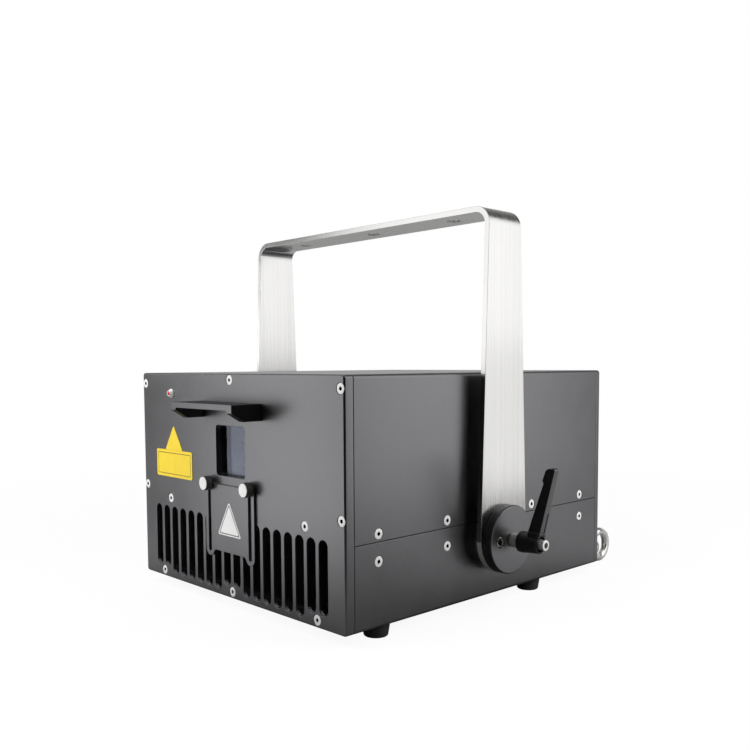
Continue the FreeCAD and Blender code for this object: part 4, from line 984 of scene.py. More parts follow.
@dataclass
class Housing:
    """Front and rear plates, top cover, base tray and feet."""

    at: Layout
    corner_r: float = 3.0
    edge: float = 1.5
    back_edge: float = 0.5
    joint: float = 0.3
    joint_edge: float = 0.4
    seam_gap: float = 0.5
    side_t: float = 8.4
    wall_t: float = 10.0
    room_out: float = 2.0
    vent_n: int = 18
    vent_pitch: float = 14.79
    vent_w: float = 10.6
    vent_top: float = 82.0
    vent_low: float = 16.3
    vent_short: float = 22.1
    vent_clear: float = 11.0
    vent_reach: float = 132.0
    vent_lip: float = 3.0
    vent_relief: float = 1.0
    vent_room: float = 20.0
    vent_lap: float = 0.5
    vent_mouth: float = 7.0
    rim_edge: float = 0.7
    # Reach of the painted highlight on the vents' lower ends.
    sill_high: float = 6.0
    sill_lean: Point3 = (0.25, 0.3, 0.3)
    sink_mouth: float = 4.65
    sink_hole: float = 2.8
    sink_rim: float = 0.25
    bore_reach: float = 12.0
    window_r: float = 3.0
    window_in: float = 15.0
    window_cut: float = 24.0
    inlet_bore: float = 12.0
    key_bore: float = 9.0
    signal_bore: float = 11.0
    foot_x: float = 138.0
    foot_shares: Point2 = (-0.373, 0.208)
    foot_low: Line = ((5.0, -3.5), (5.0, -10.4), (5.6, -11.0))
    foot_roll_mid: Point2 = (8.4, -9.2)
    foot_roll: float = 1.8
    foot_high: Line = ((11.6, -0.6), (11.2, 0), (2.3, 0), (2.3, -3.5), (5.0, -3.5))

    def build(self) -> None:
        """Build every piece of the housing."""
        self.front_plate()
        self.rear_plate()
        self.top_cover()
        self.base_tray()
        self.feet()

    def sinks(self, facing: Facing, spots: Sequence[Point3]) -> List[Piece]:
        """Countersink cutters at points of a face.

        Args:
            facing: Way that the face looks.
            spots: Middle of each screw on the face.

        Returns:
            One cutter per screw.
        """
        mouth, hole, rim = self.sink_mouth, self.sink_hole, self.sink_rim
        line = [(0, OVERRUN), (mouth + rim, OVERRUN), (mouth + rim, rim), (mouth, 0), (hole, hole - mouth),
                (hole, -self.bore_reach), (0, -self.bore_reach)]
        return Shop.copies(Shop.turned("sink", line, steps=40), "sink_%d", facing, spots)

    def vent(self, low: float) -> Piece:
        """Cutter of one round-ended slot: a lip at the outer face and a wider room behind it.

        Args:
            low: Height of the slot's lower end.

        Returns:
            The cutter, facing +Z.
        """
        r, lip = self.vent_w / 2, self.vent_lip
        bodies = []
        for grow, deep, thick in ((self.vent_relief, lip + self.vent_room, self.vent_room),
                                  (0.0, lip + self.vent_lap, self.vent_mouth)):
            ends = arc((0, self.vent_top - r), r + grow, 0, 180, 16)
            ends += arc((0, low + r), r + grow, 180, 360, 16)
            bodies.append(Shop.slab("vent", ends, thick, Facing.UP, (0, 0, -deep)))
        return Shop.combine(bodies[0], bodies[1:], "UNION")

    def vents(self, facing: Facing, y: float) -> List[Piece]:
        """Cutters of every vent in the plate that has its outer face at a place along Y."""
        spots: Dict[float, List[Point3]] = {self.vent_low: [], self.vent_short: []}
        for i in range(self.vent_n):
            x = (i - (self.vent_n - 1) / 2) * self.vent_pitch
            short = min(abs(x - s) for s in (-self.at.low_x, 0, self.at.low_x)) < self.vent_clear
            spots[self.vent_short if short else self.vent_low].append((x, y, 0))
        return [cutter for low, places in spots.items()
                for cutter in Shop.copies(self.vent(low), "vent_%d", facing, places)]

    def in_vent(self, p: Vector) -> bool:
        """Whether a point on a plate's face belongs to the rim of a vent."""
        return self.vent_low - SLACK < p.z < self.vent_top + SLACK and abs(p.x) < self.vent_reach

    def in_window(self, p: Vector) -> bool:
        """Whether a point on the front plate's face belongs to the rim of the aperture."""
        at = self.at
        return abs(p.x) < at.window_half + SLACK and at.window_low - SLACK < p.z < at.window_high + SLACK

    def has_sill_highlight(self, c: Vector, n: Vector) -> bool:
        """Whether a face of a plate is the lower end of a vent's lip, which gets a lighter bluish colour as a
        painted highlight.

        Args:
            c: Middle of the face.
            n: Normal of the face.

        Returns:
            True for the part of the lower end that looks to the right.
        """
        near = min(abs(c.y - self.at.y_front), abs(c.y - self.at.y_rear)) < self.vent_lip
        right, across, up = self.sill_lean
        leans = n.x > right and abs(n.y) < across and n.z > up
        return near and leans and c.z < self.vent_short + self.sill_high and self.in_vent(c)

    def plate(self, name: str, y0: float, y1: float, face: float) -> Piece:
        """Plate with round corners and bevelled edges.

        Args:
            name: Name of the piece.
            y0: Front of the plate.
            y1: Rear of the plate.
            face: Which of the two is the outer face.

        Returns:
            Plate without openings.
        """
        at = self.at
        obj = Shop.block(name, (-at.half_w, y0, at.z_under), (at.half_w, y1, at.z_top))
        Shop.bevel_long(obj, (at.z_under, at.z_top), self.corner_r, segments=6)
        Shop.bevel_ends(obj, face, self.edge, segments=3)
        Shop.bevel_ends(obj, y0 + y1 - face, self.back_edge)
        return obj

    def front_plate(self) -> None:
        """Thick plate with vents, aperture and countersinks."""
        at = self.at
        y = at.y_front
        obj = self.plate("front_panel", y, at.y_in_front, y)
        outline = round_rect(-at.window_half, at.window_half, at.window_low, at.window_high, self.window_r, 8)
        window = Shop.slab("window", outline, self.window_cut, Facing.FRONT, (0, y + self.window_in, 0))
        Shop.cut(obj, *self.vents(Facing.FRONT, y), *self.sinks(Facing.FRONT, at.plate_spots(y)), window)
        Shop.bevel_rims(obj, y, lambda p: self.in_vent(p) or self.in_window(p), self.rim_edge)
        # Painted highlight: the vents' lower ends that face up and right get the lighter sill colour.
        Shop.mark(obj, self.has_sill_highlight)
        dress(Shop.smooth(obj), BLACK, "housing", "front_plate", sunk=SILL_HIGHLIGHT)

    def rear_plate(self) -> None:
        """Plate behind the sockets, with the same vents."""
        at = self.at
        y, reach = at.y_rear, self.bore_reach
        obj = self.plate("rear_panel", at.y_in_rear, y, y)
        tools = self.vents(Facing.REAR, y) + self.sinks(Facing.REAR, at.plate_spots(y))
        holes = [(at.inlet, self.inlet_bore), (at.key, self.key_bore)]
        holes += [(place, self.signal_bore) for place in at.signal]
        for (x, z), r in holes:
            tools.append(Shop.rod("bore", r, (-reach, reach), 40, Facing.REAR, (x, y, z)))
        Shop.cut(obj, *tools)
        Shop.bevel_rims(obj, y, self.in_vent, self.rim_edge)
        # Painted highlight: the vents' lower ends that face up and right get the lighter sill colour.
        Shop.mark(obj, self.has_sill_highlight)
        dress(Shop.smooth(obj), BLACK, "housing", "rear_plate", sunk=SILL_HIGHLIGHT)

    def shell(self, name: str, z0: float, z1: float, round_z: float, screws_up: float) -> Piece:
        """Half of the case: a U-shaped shell with round long edges and one row of countersinks each side.

        Args:
            name: Name of the piece.
            z0: Lower end.
            z1: Upper end.
            round_z: Height of the two edges that are rounded.
            screws_up: Height of its screws above the box's underside.

        Returns:
            The shell.
        """
        at, out = self.at, self.room_out
        front, rear = at.y_in_front + self.joint, at.y_in_rear - self.joint
        obj = Shop.block(name, (-at.half_w, front, z0), (at.half_w, rear, z1))
        Shop.bevel_long(obj, [round_z], self.corner_r, segments=6)
        Shop.bevel_long(obj, [z0 + z1 - round_z], self.joint_edge, segments=2)
        for end in (front, rear):
            Shop.bevel_ends(obj, end, self.joint_edge)
        inner = at.half_w - self.side_t
        low, high = (z0 - out, z1 - self.wall_t) if round_z == z1 else (z0 + self.wall_t, z1 + out)
        tools = [Shop.block("room", (-inner, at.y_in_front - out, low), (inner, at.y_in_rear + out, high))]
        for facing, x in ((Facing.RIGHT, at.half_w), (Facing.LEFT, -at.half_w)):
            tools += self.sinks(facing, at.side_spots(x, screws_up))
        return Shop.smooth(Shop.cut(obj, *tools))

    def top_cover(self) -> None:
        """Top and upper sides."""
        at = self.at
        obj = self.shell("upper_case", at.z_seam + self.seam_gap / 2, at.z_top, at.z_top, at.side_ups[0])
        dress(obj, BLACK, "housing", "top_cover")

    def base_tray(self) -> None:
        """Bottom and lower sides."""
        at = self.at
        obj = self.shell("lower_case", at.z_under, at.z_seam - self.seam_gap / 2, at.z_under, at.side_ups[1])
        dress(obj, BLACK, "housing", "base_tray")

    def feet(self) -> None:
        """Four tapered rubber feet with a rolled lower edge and a well for the screw."""
        at = self.at
        line = [*self.foot_low, *arc(self.foot_roll_mid, self.foot_roll, 270, 360, 6), *self.foot_high]
        first = Shop.turned("foot", line, steps=56)
        spots = [(x, at.y_mid + s * at.box_d, at.z_under) for x in (-self.foot_x, self.foot_x)
                 for s in self.foot_shares]
        for foot in Shop.copies(first, "rubber_foot_%d", Facing.UP, spots):
            dress(Shop.smooth(foot), RUBBER, "housing", "rubber_feet")


@dataclass
class Fasteners:
    """Countersunk socket screws of the housing."""

    at: Layout
    line: Line = ((0, -0.3), (3.95, -0.3), (4.3, -0.48), (4.25, -0.7), (2.5, -2.2), (2.5, -9.0), (0, -9.0))
    key: float = 3.0
    key_deep: float = 2.2

    def model(self) -> Piece:
        """One screw, facing +Z, with its head's face just below zero."""
        screw = Shop.turned("screw", self.line, steps=40)
        Shop.key_socket(screw, self.key, self.line[0][1], self.key_deep)
        return Shop.smooth(screw)

    def build(self) -> None:
        """Copy the screw to every place."""
        at = self.at
        for name, node, facing, spots in (
                ("front_screw", "front_screws", Facing.FRONT, at.plate_spots(at.y_front)),
                ("rear_screw", "rear_screws", Facing.REAR, at.plate_spots(at.y_rear)),
                ("right_screw", "side_screws", Facing.RIGHT, at.side_spots(at.half_w, *at.side_ups)),
                ("left_screw", "side_screws", Facing.LEFT, at.side_spots(-at.half_w, *at.side_ups))):
            for screw in Shop.copies(self.model(), name + "_%02d", facing, spots):
                dress(screw, ZINC, "housing", node, sunk=SOCKET_SHADE)


@dataclass
class FrontTrim:
    """Hood, indicator lamp, yellow plates, beam mask and thumb screws."""

    at: Layout
    glass_half: float = 30.0
    glass_r: float = 1.0
    glass_t: float = 3.0
    field_gap: float = 0.1
    field_r: float = 2.9
    field_t: float = 4.9
    field_in: float = 2.0
    hood_half: float = 47.5
    hood_out: float = 30.0
    hood_top: float = 186.0
    hood_t: float = 5.0
    hood_lip: float = 7.0
    hood_deep: float = 14.5
    hood_step: float = 17.5
    hood_edge: float = 0.45
    cheek: float = 7.5
    room_out: float = 5.0
    lamp: Point2 = (-97.6, 191.7)
    bezel_line: Line = ((1.95, -6.0), (3.95, -6.0), (3.95, 0), (4.2, 0), (4.4, 0.25), (4.4, 0.6), (4.15, 0.9),
                        (2.8, 3.1), (2.5, 3.3), (2.15, 3.2), (1.95, 2.8), (1.95, -6.0))
    lens_line: Line = ((0, -6.0), (1.85, -6.0), (1.85, 3.15))
    lens_mid: float = 1.7
    lens_r: float = 2.35
    lens_start: float = 38.0
    label: Tuple[float, float, float, float] = (-127.0, -62.5, 110.8, 137.0)
    label_r: float = 2.0
    label_t: float = 0.4
    label_edge: float = 0.12
    tri_half: float = 15.6
    tri_high: float = 23.6
    tri_gap: float = 0.1
    tri_r: float = 0.9
    slot_x: float = 31.1
    slot_half: float = 2.3
    slot_out: float = 2.0
    lobe: float = 6.4
    fillet: float = 4.2
    low: float = 52.2
    high: float = 112.2
    mask_t: float = 2.0
    mask_edge: float = 0.3
    gap: float = 0.1
    mark_line: Line = ((-18.0, 67.4), (18.0, 67.4), (0.0, 98.1))
    mark_mid: Point2 = (0.0, 77.6)
    mark_shares: Point3 = (1.0, 0.90, 0.80)
    mark_radii: Point3 = (1.4, 0.9, 0.8)
    print_t: float = 0.05
    thumb_r: float = 6.5
    thumb_h: float = 6.7
    rim_low: Line = ((2.0, 0), (5.6, 0), (6.2, 0.35), (6.5, 0.8), (6.5, 2.4))
    rim_high: Line = ((6.5, -1.0), (6.5, -0.6), (6.15, -0.2), (5.7, -0.2), (2.0, -0.2))
    face_line: Line = ((0, -0.9), (5.6, -0.9), (5.95, -0.4), (5.8, 0), (5.2, 0), (0, -0.05))
    shank_r: float = 1.95
    shank_in: float = 9.0
    knurls: int = 112
    knurl_share: float = 0.95
    knurl_reach: float = 0.02

    def build(self) -> None:
        """Build every piece on the front."""
        self.window()
        self.hood()
        self.lamp_pieces()
        self.labels()
        self.mask()
        self.thumbs()

    def front_slab(self, name: str, points: Line, thick: float, y: float) -> Piece:
        """Slab that faces the front, from its outline in (x, z), with its rear face at a place along Y."""
        return Shop.slab(name, points, thick, Facing.FRONT, (0, y, 0))

    def window(self) -> None:
        """Glass with a raised field that stands in the aperture."""
        at, half, gap = self.at, self.glass_half, self.field_gap
        seat, mid = at.y_in_front, (at.window_low + at.window_high) / 2
        outline = round_rect(-half, half, mid - half, mid + half, self.glass_r)
        glass = self.front_slab("aperture_window", outline, self.glass_t, seat + self.glass_t)
        inner = round_rect(gap - at.window_half, at.window_half - gap, at.window_low + gap,
                           at.window_high - gap, self.field_r, 8)
        Shop.combine(glass, [self.front_slab("field", inner, self.field_t, seat + self.field_in)], "UNION")
        # Painted shade: the window's sides get the near-black colour, so no light shows through them.
        Shop.mark(glass, lambda c, n: abs(n.y) < 0.5)
        dress(Shop.smooth(glass), GLASS, "housing", "aperture_glass", sunk=RING_BLACK_AND_SHADE)

    def hood(self) -> None:
        """Shade with two cheeks, milled from one bar."""
        y, top, half, low = self.at.y_front, self.hood_top, self.hood_half, self.hood_top - self.hood_deep
        front = y - self.hood_out
        side = [(y, top), (front, top), (front, top - self.hood_lip), (y - self.hood_step, low), (y, low)]
        obj = Shop.slab("beam_hood", side, 2 * half, Facing.RIGHT, (-half, 0, 0))
        inner, out = half - self.cheek, self.room_out
        high = top - self.hood_t
        Shop.cut(obj, Shop.block("room", (-inner, front - out, low - out), (inner, y + out, high)))
        Shop.soften(obj, self.hood_edge)
        dress(Shop.smooth(obj), SHADE, "housing", "aperture_hood")

    def lamp_pieces(self) -> None:
        """Conical bezel and domed lens."""
        place = (self.lamp[0], self.at.y_front, self.lamp[1])
        bezel = Shop.turned("lamp_bezel", self.bezel_line, 48, Facing.FRONT, place)
        dress(Shop.smooth(bezel), ZINC, "housing", "led_bezel")
        dome = [*self.lens_line, *arc((0, self.lens_mid), self.lens_r, self.lens_start, 90, 6)]
        lens = Shop.turned("lamp_lens", dome, 32, Facing.FRONT, place)
        dress(Shop.smooth(lens), LENS, "housing", "led_lens")

    def labels(self) -> None:
        """Plain yellow rectangle and the plain triangle above it."""
        x0, x1, z0, z1 = self.label
        mid, half, base = (x0 + x1) / 2, (x1 - x0) / 2, z1 + self.tri_gap
        corners = [(mid - self.tri_half, base), (mid + self.tri_half, base), (mid, base + self.tri_high)]
        lined = Film("yellow_plate_film", "yellow_film", centre=(mid, (z0 + z1) / 2),
                     half=(half, (z1 - z0) / 2))
        plain = Film("yellow_triangle_film", "yellow_film", centre=(mid, base), half=(x1 - x0, x1 - x0))
        for name, outline, film in (("yellow_plate", round_rect(x0, x1, z0, z1, self.label_r), lined),
                                    ("yellow_triangle", round_polygon(corners, self.tri_r), plain)):
            panel = self.front_slab(name, outline, self.label_t, self.at.y_front)
            dress(Shop.smooth(Shop.soften(panel, self.label_edge)), film, "housing", "label_plate")

    def mask_outline(self) -> List[Point2]:
        """Outline of the mask, anticlockwise from its right side."""
        reach = math.sqrt((self.lobe + self.fillet) ** 2 - self.fillet ** 2)
        lean = math.degrees(math.atan2(self.fillet, reach))
        x, r, f = self.slot_x, self.lobe, self.fillet
        points: List[Point2] = arc((x, self.high), r, 0, 180 - lean, 12)
        points += arc((x - reach, self.high + f), f, -lean, -90, 6)
        points += arc((reach - x, self.high + f), f, 270, 180 + lean, 6)
        points += arc((-x, self.high), r, lean, 180, 12)
        points += arc((-x, self.low), r, 180, 360 - lean, 12)
        points += arc((reach - x, self.low - f), f, 180 - lean, 90, 6)
        points += arc((x - reach, self.low - f), f, 90, lean, 6)
        points += arc((x, self.low), r, 180 + lean, 360, 12)
        return points

    def mask(self) -> None:
        """Sliding plate with two slots, and the plain white triangle printed on it."""
        y, r, out = self.at.y_front - self.gap, self.slot_half, self.slot_out
        obj = self.front_slab("beam_mask_plate", self.mask_outline(), self.mask_t, y)
        tools = []
        for x in (-self.slot_x, self.slot_x):
            ring = arc((x, self.high), r, 0, 180, 10) + arc((x, self.low), r, 180, 360, 10)
            tools.append(self.front_slab("slot", ring, self.mask_t + 2 * out, y + out))
        Shop.cut(obj, *tools)
        Shop.soften(obj, self.mask_edge, angle=50)
        dress(Shop.smooth(obj), BLACK, "mask", "beam_mask")
        self.mark(y - self.mask_t)

    def mark(self, y: float) -> None:
        """Plain triangle with a line round it, printed on the mask's face."""
        middle = Vector(self.mark_mid)
        outer, hole, inner = (
            round_polygon([tuple(middle + (Vector(p) - middle) * share) for p in self.mark_line], r)
            for share, r in zip(self.mark_shares, self.mark_radii))
        ring = self.front_slab("mask_mark_line", outer, self.print_t, y)
        Shop.cut(ring, self.front_slab("hole", hole, 2 * OVERRUN, y + OVERRUN))
        dress(ring, WHITE, "mask")
        dress(self.front_slab("mask_mark_field", inner, self.print_t, y), WHITE, "mask")

    def thumbs(self) -> None:
        """Two thumb screws: a faced head with a knurled rim."""
        under = self.mask_t + 2 * self.gap
        top = under + self.thumb_h
        rim = raised(self.rim_low, under) + raised(self.rim_high, top)
        rim.append(rim[0])
        face = raised(self.face_line, top)
        ends = (-self.shank_in, under + OVERRUN)
        for side, name in ((-1, "left"), (1, "right")):
            spot = (side * self.slot_x, self.at.y_front, self.high)
            body = "thumb_" + name
            knurled = Shop.turned("thumb_rim_" + name, rim, self.knurls)
            self.knurl(knurled)
            Shop.smooth(Shop.put(knurled, Facing.FRONT, spot), angle=20)
            dress(knurled, KNURL, body, "thumb_screw_" + name)
            cap = Shop.turned("thumb_face_" + name, face, 56, Facing.FRONT, spot)
            dress(Shop.smooth(cap), FACED, body)
            stem = Shop.rod("thumb_shank_" + name, self.shank_r, ends, 32, Facing.FRONT, spot)
            dress(Shop.smooth(stem), ZINC, body)

    def knurl(self, obj: Piece) -> None:
        """Press every other row of a turned rim inwards."""
        mesh = obj.data
        Shop.clear_picks(mesh)
        for v in mesh.vertices:
            p = v.co / MM
            step = round(math.degrees(math.atan2(p.y, p.x)) / (360 / self.knurls))
            v.select = abs(math.hypot(p.x, p.y) - self.thumb_r) < self.knurl_reach and step % 2 == 0
        with Shop.editing(obj):
            share = self.knurl_share
            bpy.ops.transform.resize(value=(share, share, 1), center_override=(0, 0, 0))


@dataclass
class Yoke:
    """Bent flat bar with three rigging holes."""

    at: Layout
    half: float = 165.8
    thick: float = 5.0
    bend: float = 16.0
    top: float = 353.5
    end_r: float = 32.0
    end_up: float = 1.4
    edge: float = 0.3
    bar_half: float = 21.5
    bar_up: float = 2.0
    hole_r: float = 6.25
    hole_x: float = 106.7
    chamfer: float = 1.2
    chamfer_out: float = 0.05
    pivot_r: float = 10.1
    reach: float = 10.0
    cut_lean: float = 0.8
    chamfer_lean: Point2 = (0.3, 0.9)

    def bar(self) -> Piece:
        """Bend outline, cut to the side outline."""
        at, end = self.at, self.end_r
        mid_z = at.z_pivot + self.end_up
        low = mid_z - end
        r, t, h, z = self.bend, self.thick, self.half, self.top
        right, left = (h - r, z - r), (r - h, z - r)
        line = [(h, low)] + arc(right, r, 0, 90, 14) + arc(left, r, 90, 180, 14) + [(-h, low), (t - h, low)]
        line += arc(left, r - t, 180, 90, 14) + arc(right, r - t, 90, 0, 14) + [(h - t, low)]
        obj = Shop.slab("yoke_bar", line, 2 * (end + OVERRUN), Facing.FRONT, (0, at.y_mid + end + OVERRUN, 0))
        high = z + self.bar_up
        side = [(at.y_mid + self.bar_half, high), (at.y_mid - self.bar_half, high)]
        side += arc((at.y_mid, mid_z), end, 178, 362, 48)
        wide = h + self.reach
        body = Shop.slab("side", side, 2 * wide, Facing.RIGHT, (-wide, 0, 0))
        return Shop.combine(obj, [body], "INTERSECT")

    def build(self) -> None:
        """The bar, softened and drilled."""
        at, z, t, reach = self.at, self.top, self.thick, self.reach
        obj = self.bar()
        Shop.soften(obj, self.edge, angle=40, clamp=False)
        r, wide, out = self.hole_r, self.hole_r + self.chamfer, self.chamfer_out
        deep = self.chamfer - out
        drill = [(0, -reach), (wide, -reach), (wide, -t - out), (r, deep - t), (r, -deep), (wide, out),
                 (wide, reach), (0, reach)]
        holes = (-self.hole_x, 0, self.hole_x)
        bores = [Shop.turned("bore", drill, 48, Facing.UP, (x, at.y_mid, z)) for x in holes]
        bores += [Shop.rod("bore", self.pivot_r, (-reach, reach), 48, Facing.RIGHT, (x, at.y_mid, at.z_pivot))
                  for x in (-self.half, self.half)]
        Shop.cut(obj, *bores)
        flat, steep = self.chamfer_lean

        def chamfered(c: Vector, n: Vector) -> bool:
            """Whether a face belongs to the chamfer of a rigging hole."""
            near = abs(c.y - at.y_mid) < wide and min(abs(c.x - x) for x in holes) < wide
            return c.z > z - t and flat < abs(n.z) < steep and near

        # Painted highlight: the bar's edge below the pivot gets the lighter edge colour.
        Shop.mark(obj, lambda c, n: c.z < at.z_pivot and abs(n.x) < self.cut_lean)
        Shop.mark(obj, chamfered)
        dress(Shop.smooth(obj, angle=30), YOKE, "yoke_assembly", "yoke", sunk=EDGE)


@dataclass
class Clamp:
    """Pivot hub, friction ring, clamp disc, stud and lever, modelled on the right and mirrored."""

    at: Layout
    hub_x: float = 152.2
    ring_x: float = 165.8
    disc_x: float = 168.8
    face_x: float = 175.0
    lever_x: float = 182.0
    end_x: float = 205.0
    hub_line: Line = ((5.2, -8.0), (12.9, -8.0), (12.9, 0), (25.4, 0), (26.0, 0.6), (26.0, 7.8), (25.3, 8.5),
                      (9.95, 8.5), (9.95, 13.0), (5.2, 13.0), (5.2, -8.0))
    ring_line: Line = ((10.6, 0.05), (29.9, 0.05), (30.4, 0.5), (30.4, 2.5), (29.9, 2.95), (10.6, 2.95),
                       (10.6, 0.05))
    disc_low: Line = ((5.4, 0.05), (29.9, 0.05), (30.4, 0.5), (30.4, 4.7))
    disc_roll_mid: Point2 = (28.9, 4.7)
    disc_roll: float = 1.5
    disc_high: Line = ((5.9, 6.2), (5.4, 5.7), (5.4, 0.05))
    rim_lean: float = 0.9
    rim_r: float = 28.7
    mouth_line: Line = ((0, -9.0), (2.9, -9.0), (2.9, -4.2), (5.2, -4.2), (5.2, -0.4), (5.6, 0), (5.6, 2.0),
                        (0, 2.0))
    stud_line: Line = ((0, -26.0), (5.0, -26.0), (5.0, 0.2), (6.1, 0.2), (6.4, 0.5), (6.4, 9.2), (6.2, 9.5),
                       (4.5, 9.5), (4.5, 12.0), (0, 12.0))
    lever_low: Line = ((4.7, 2.6), (8.8, 2.6), (9.3, 3.1), (9.3, 7.4), (9.0, 7.9), (8.9, 8.2))
    lever_high: Line = ((8.0, -0.9), (7.2, 0), (6.8, 0), (6.7, -8.0), (4.7, -8.0))
    arm_line: Line = ((195.0, 4.0), (194.2, 9.5), (209.2, 53.4), (207.9, 55.4), (211.0, 64.0), (213.4, 66.2),
                      (219.6, 66.4), (220.6, 65.2), (206.6, 8.5), (204.2, 4.0))
    arm_half: float = 4.8
    arm_edge: float = 0.9
    arm_taper: float = 0.72
    arm_taper_up: float = 50.0
    panel_low: Point3 = (-0.45, -2.3, -9.0)
    panel_high: Point3 = (2.0, 2.3, 9.0)
    panel_x: float = 209.1
    panel_up: float = 18.6
    panel_lean: float = 13.87
    foot_line: Line = ((193.6, -5.0), (194.6, 11.0), (206.2, 11.0), (204.6, -4.0))
    foot_half: float = 6.0
    foot_edge: float = 1.6
    core_r: float = 6.75
    core_ends: Point2 = (-2.0, 30.0)
    # Reach of the painted sheen on the lever arm.
    sheen_lean: float = 0.8
    sheen_up: float = 9.0
    bolt_line: Line = ((0, -15.0), (3.0, -15.0), (3.0, -3.2), (4.5, -3.2), (4.6, -3.0), (4.6, 4.7),
                       (4.4, 5.2), (4.0, 5.4), (0, 5.4))
    bolt_key: float = 5.0
    bolt_key_deep: float = 3.0
    bolt_flank: float = 4.2
    cap_line: Line = ((0, -9.8), (2.5, -9.8), (2.5, 0), (4.4, 0), (4.65, 0.2), (4.65, 2.9), (4.5, 3.2),
                      (4.2, 3.5), (3.8, 3.6), (0, 3.6))
    cap_key: float = 4.0
    cap_key_deep: float = 2.0
    cap_in: float = 4.15
    screw_off: float = 16.0

    def build(self) -> None:
        """Build both sides."""
        shared = ("housing", "yoke_assembly")
        for make, finish, marked, body, node in (
                (self.hub, BLACK, BLACK, "housing", "pivot_hub"),
                (self.ring, RING_BLACK_AND_SHADE, RING_BLACK_AND_SHADE, "yoke_assembly", "friction_ring"),
                # The disc's rim gets the near-black colour: painted shade.
                (self.disc, BLACK, RING_BLACK_AND_SHADE, "yoke_assembly", "clamp_disc"),
                (self.stud, STUD_AND_FLANK_SHADE, STUD_AND_FLANK_SHADE, "stud", "clamp_stud"),
                # The arm's right-facing faces get the lighter grey: painted sheen.
                (self.handle, LEVER, LEVER_SHEEN, "handle", "lever_handle"),
                # The screw's flank and socket get the darker stud colour: painted shade.
                (self.lever_screw, ZINC, STUD_AND_FLANK_SHADE, "stud", "lever_screw")):
            right = make()
            left = Shop.mirrored(right, right.name.replace("_right", "_left"))
            for piece, side in ((right, "right"), (left, "left")):
                rides = body if body in shared else "%s_%s" % (body, side)
                dress(Shop.smooth(piece), finish, rides, "%s_%s" % (node, side), sunk=marked)
        self.cap_screws()

    def on_axis(self, name: str, line: Line, steps: int, x: float) -> Piece:
        """Turned piece that faces right, with its origin on the pivot axis at a place along X."""
        return Shop.turned(name, line, steps, Facing.RIGHT, (x, self.at.y_mid, self.at.z_pivot))

    def screw_spots(self, x: float) -> List[Point3]:
        """Places of a disc's two screws at a place along X."""
        return [(x, self.at.y_mid + off, self.at.z_pivot) for off in (-self.screw_off, self.screw_off)]

    def hub(self) -> Piece:
        """Boss on the side of the box, stepped down to the yoke's spigot."""
        return self.on_axis("pivot_boss_right", self.hub_line, 64, self.hub_x)

    def ring(self) -> Piece:
        """Flat ring with broken edges."""
        return self.on_axis("clamp_ring_right", self.ring_line, 96, self.ring_x)

    def disc(self) -> Piece:
        """Disc with a rounded rim and two counterbores."""
        line = [*self.disc_low, *arc(self.disc_roll_mid, self.disc_roll, 15, 90, 5), *self.disc_high]
        obj = self.on_axis("clamp_plate_right", line, 96, self.disc_x)
        Shop.cut(obj, *[Shop.turned("mouth", self.mouth_line, 40, Facing.RIGHT, spot)
                        for spot in self.screw_spots(self.face_x)])
        axis = Vector((0, self.at.y_mid, self.at.z_pivot))
        # Painted shade: the rim's faces get the near-black colour.
        Shop.mark(obj, lambda c, n: abs(n.x) < self.rim_lean and (c - axis).yz.length > self.rim_r)
        return obj

    def stud(self) -> Piece:
        """Bright stud with a turned shoulder under the lever."""
        return self.on_axis("clamp_bolt_right", self.stud_line, 48, self.face_x)

    def handle(self) -> Piece:
        """Moulded lever: collared hub, leaning arm with a finger bump and a sunk panel."""
        z, y = self.at.z_pivot, self.at.y_mid
        hub = [*self.lever_low, *raised(self.lever_high, self.end_x - self.lever_x), self.lever_low[0]]
        body = self.on_axis("lever_arm_right", hub, 64, self.lever_x)
        arm = self.arm()
        half = self.foot_half
        foot = Shop.slab("foot", raised(self.foot_line, z), 2 * half, Facing.FRONT, (0, y + half, 0))
        Shop.soften(foot, self.foot_edge, segments=3, angle=30)
        core = Shop.rod("core", self.core_r, self.core_ends, 48, Facing.RIGHT, (self.lever_x, y, z))
        Shop.combine(arm, [foot], "UNION")
        Shop.cut(arm, core)
        Shop.combine(body, [arm], "UNION")
        # Painted sheen: faces of the arm that look right, above the hub, get the lighter grey.
        Shop.mark(body, lambda c, n: n.x > self.sheen_lean and c.z > z + self.sheen_up)
        return body

    def arm(self) -> Piece:
        """Arm of the lever, which tapers upwards and has a sunk panel on its outer face."""
        z, y, half = self.at.z_pivot, self.at.y_mid, self.arm_half
        arm = Shop.slab("arm", raised(self.arm_line, z), 2 * half, Facing.FRONT, (0, y + half, 0))
        Shop.clear_picks(arm.data)
        for spot in arm.data.vertices:
            spot.select = spot.co.z / MM > z + self.arm_taper_up
        with Shop.editing(arm):
            bpy.ops.transform.resize(value=(1.0, self.arm_taper, 1.0), center_override=(0.0, y * MM, 0.0))
        Shop.soften(arm, self.arm_edge, segments=3, angle=30)
        panel = Shop.block("panel", self.panel_low, self.panel_high)
        place = Matrix.Translation(Vector((self.panel_x, y, z + self.panel_up)) * MM)
        panel.matrix_world = place @ Matrix.Rotation(math.radians(self.panel_lean), 4, "Y")
        Shop.only(panel)
        bpy.ops.object.transform_apply(location=True, rotation=True, scale=True)
        return Shop.cut(arm, panel)

    def lever_screw(self) -> Piece:
        """Socket screw that holds the lever."""
        screw = Shop.turned("lever_bolt_right", self.bolt_line, steps=56)
        Shop.key_socket(screw, self.bolt_key, self.bolt_line[-1][1], self.bolt_key_deep)
        # Painted shade: the head's flank, like its socket, gets the darker stud colour.
        Shop.mark(screw, lambda c, n: abs(n.z) < 0.3 and math.hypot(c.x, c.y) > self.bolt_flank)
        return Shop.put(screw, Facing.RIGHT, (self.end_x, self.at.y_mid, self.at.z_pivot))

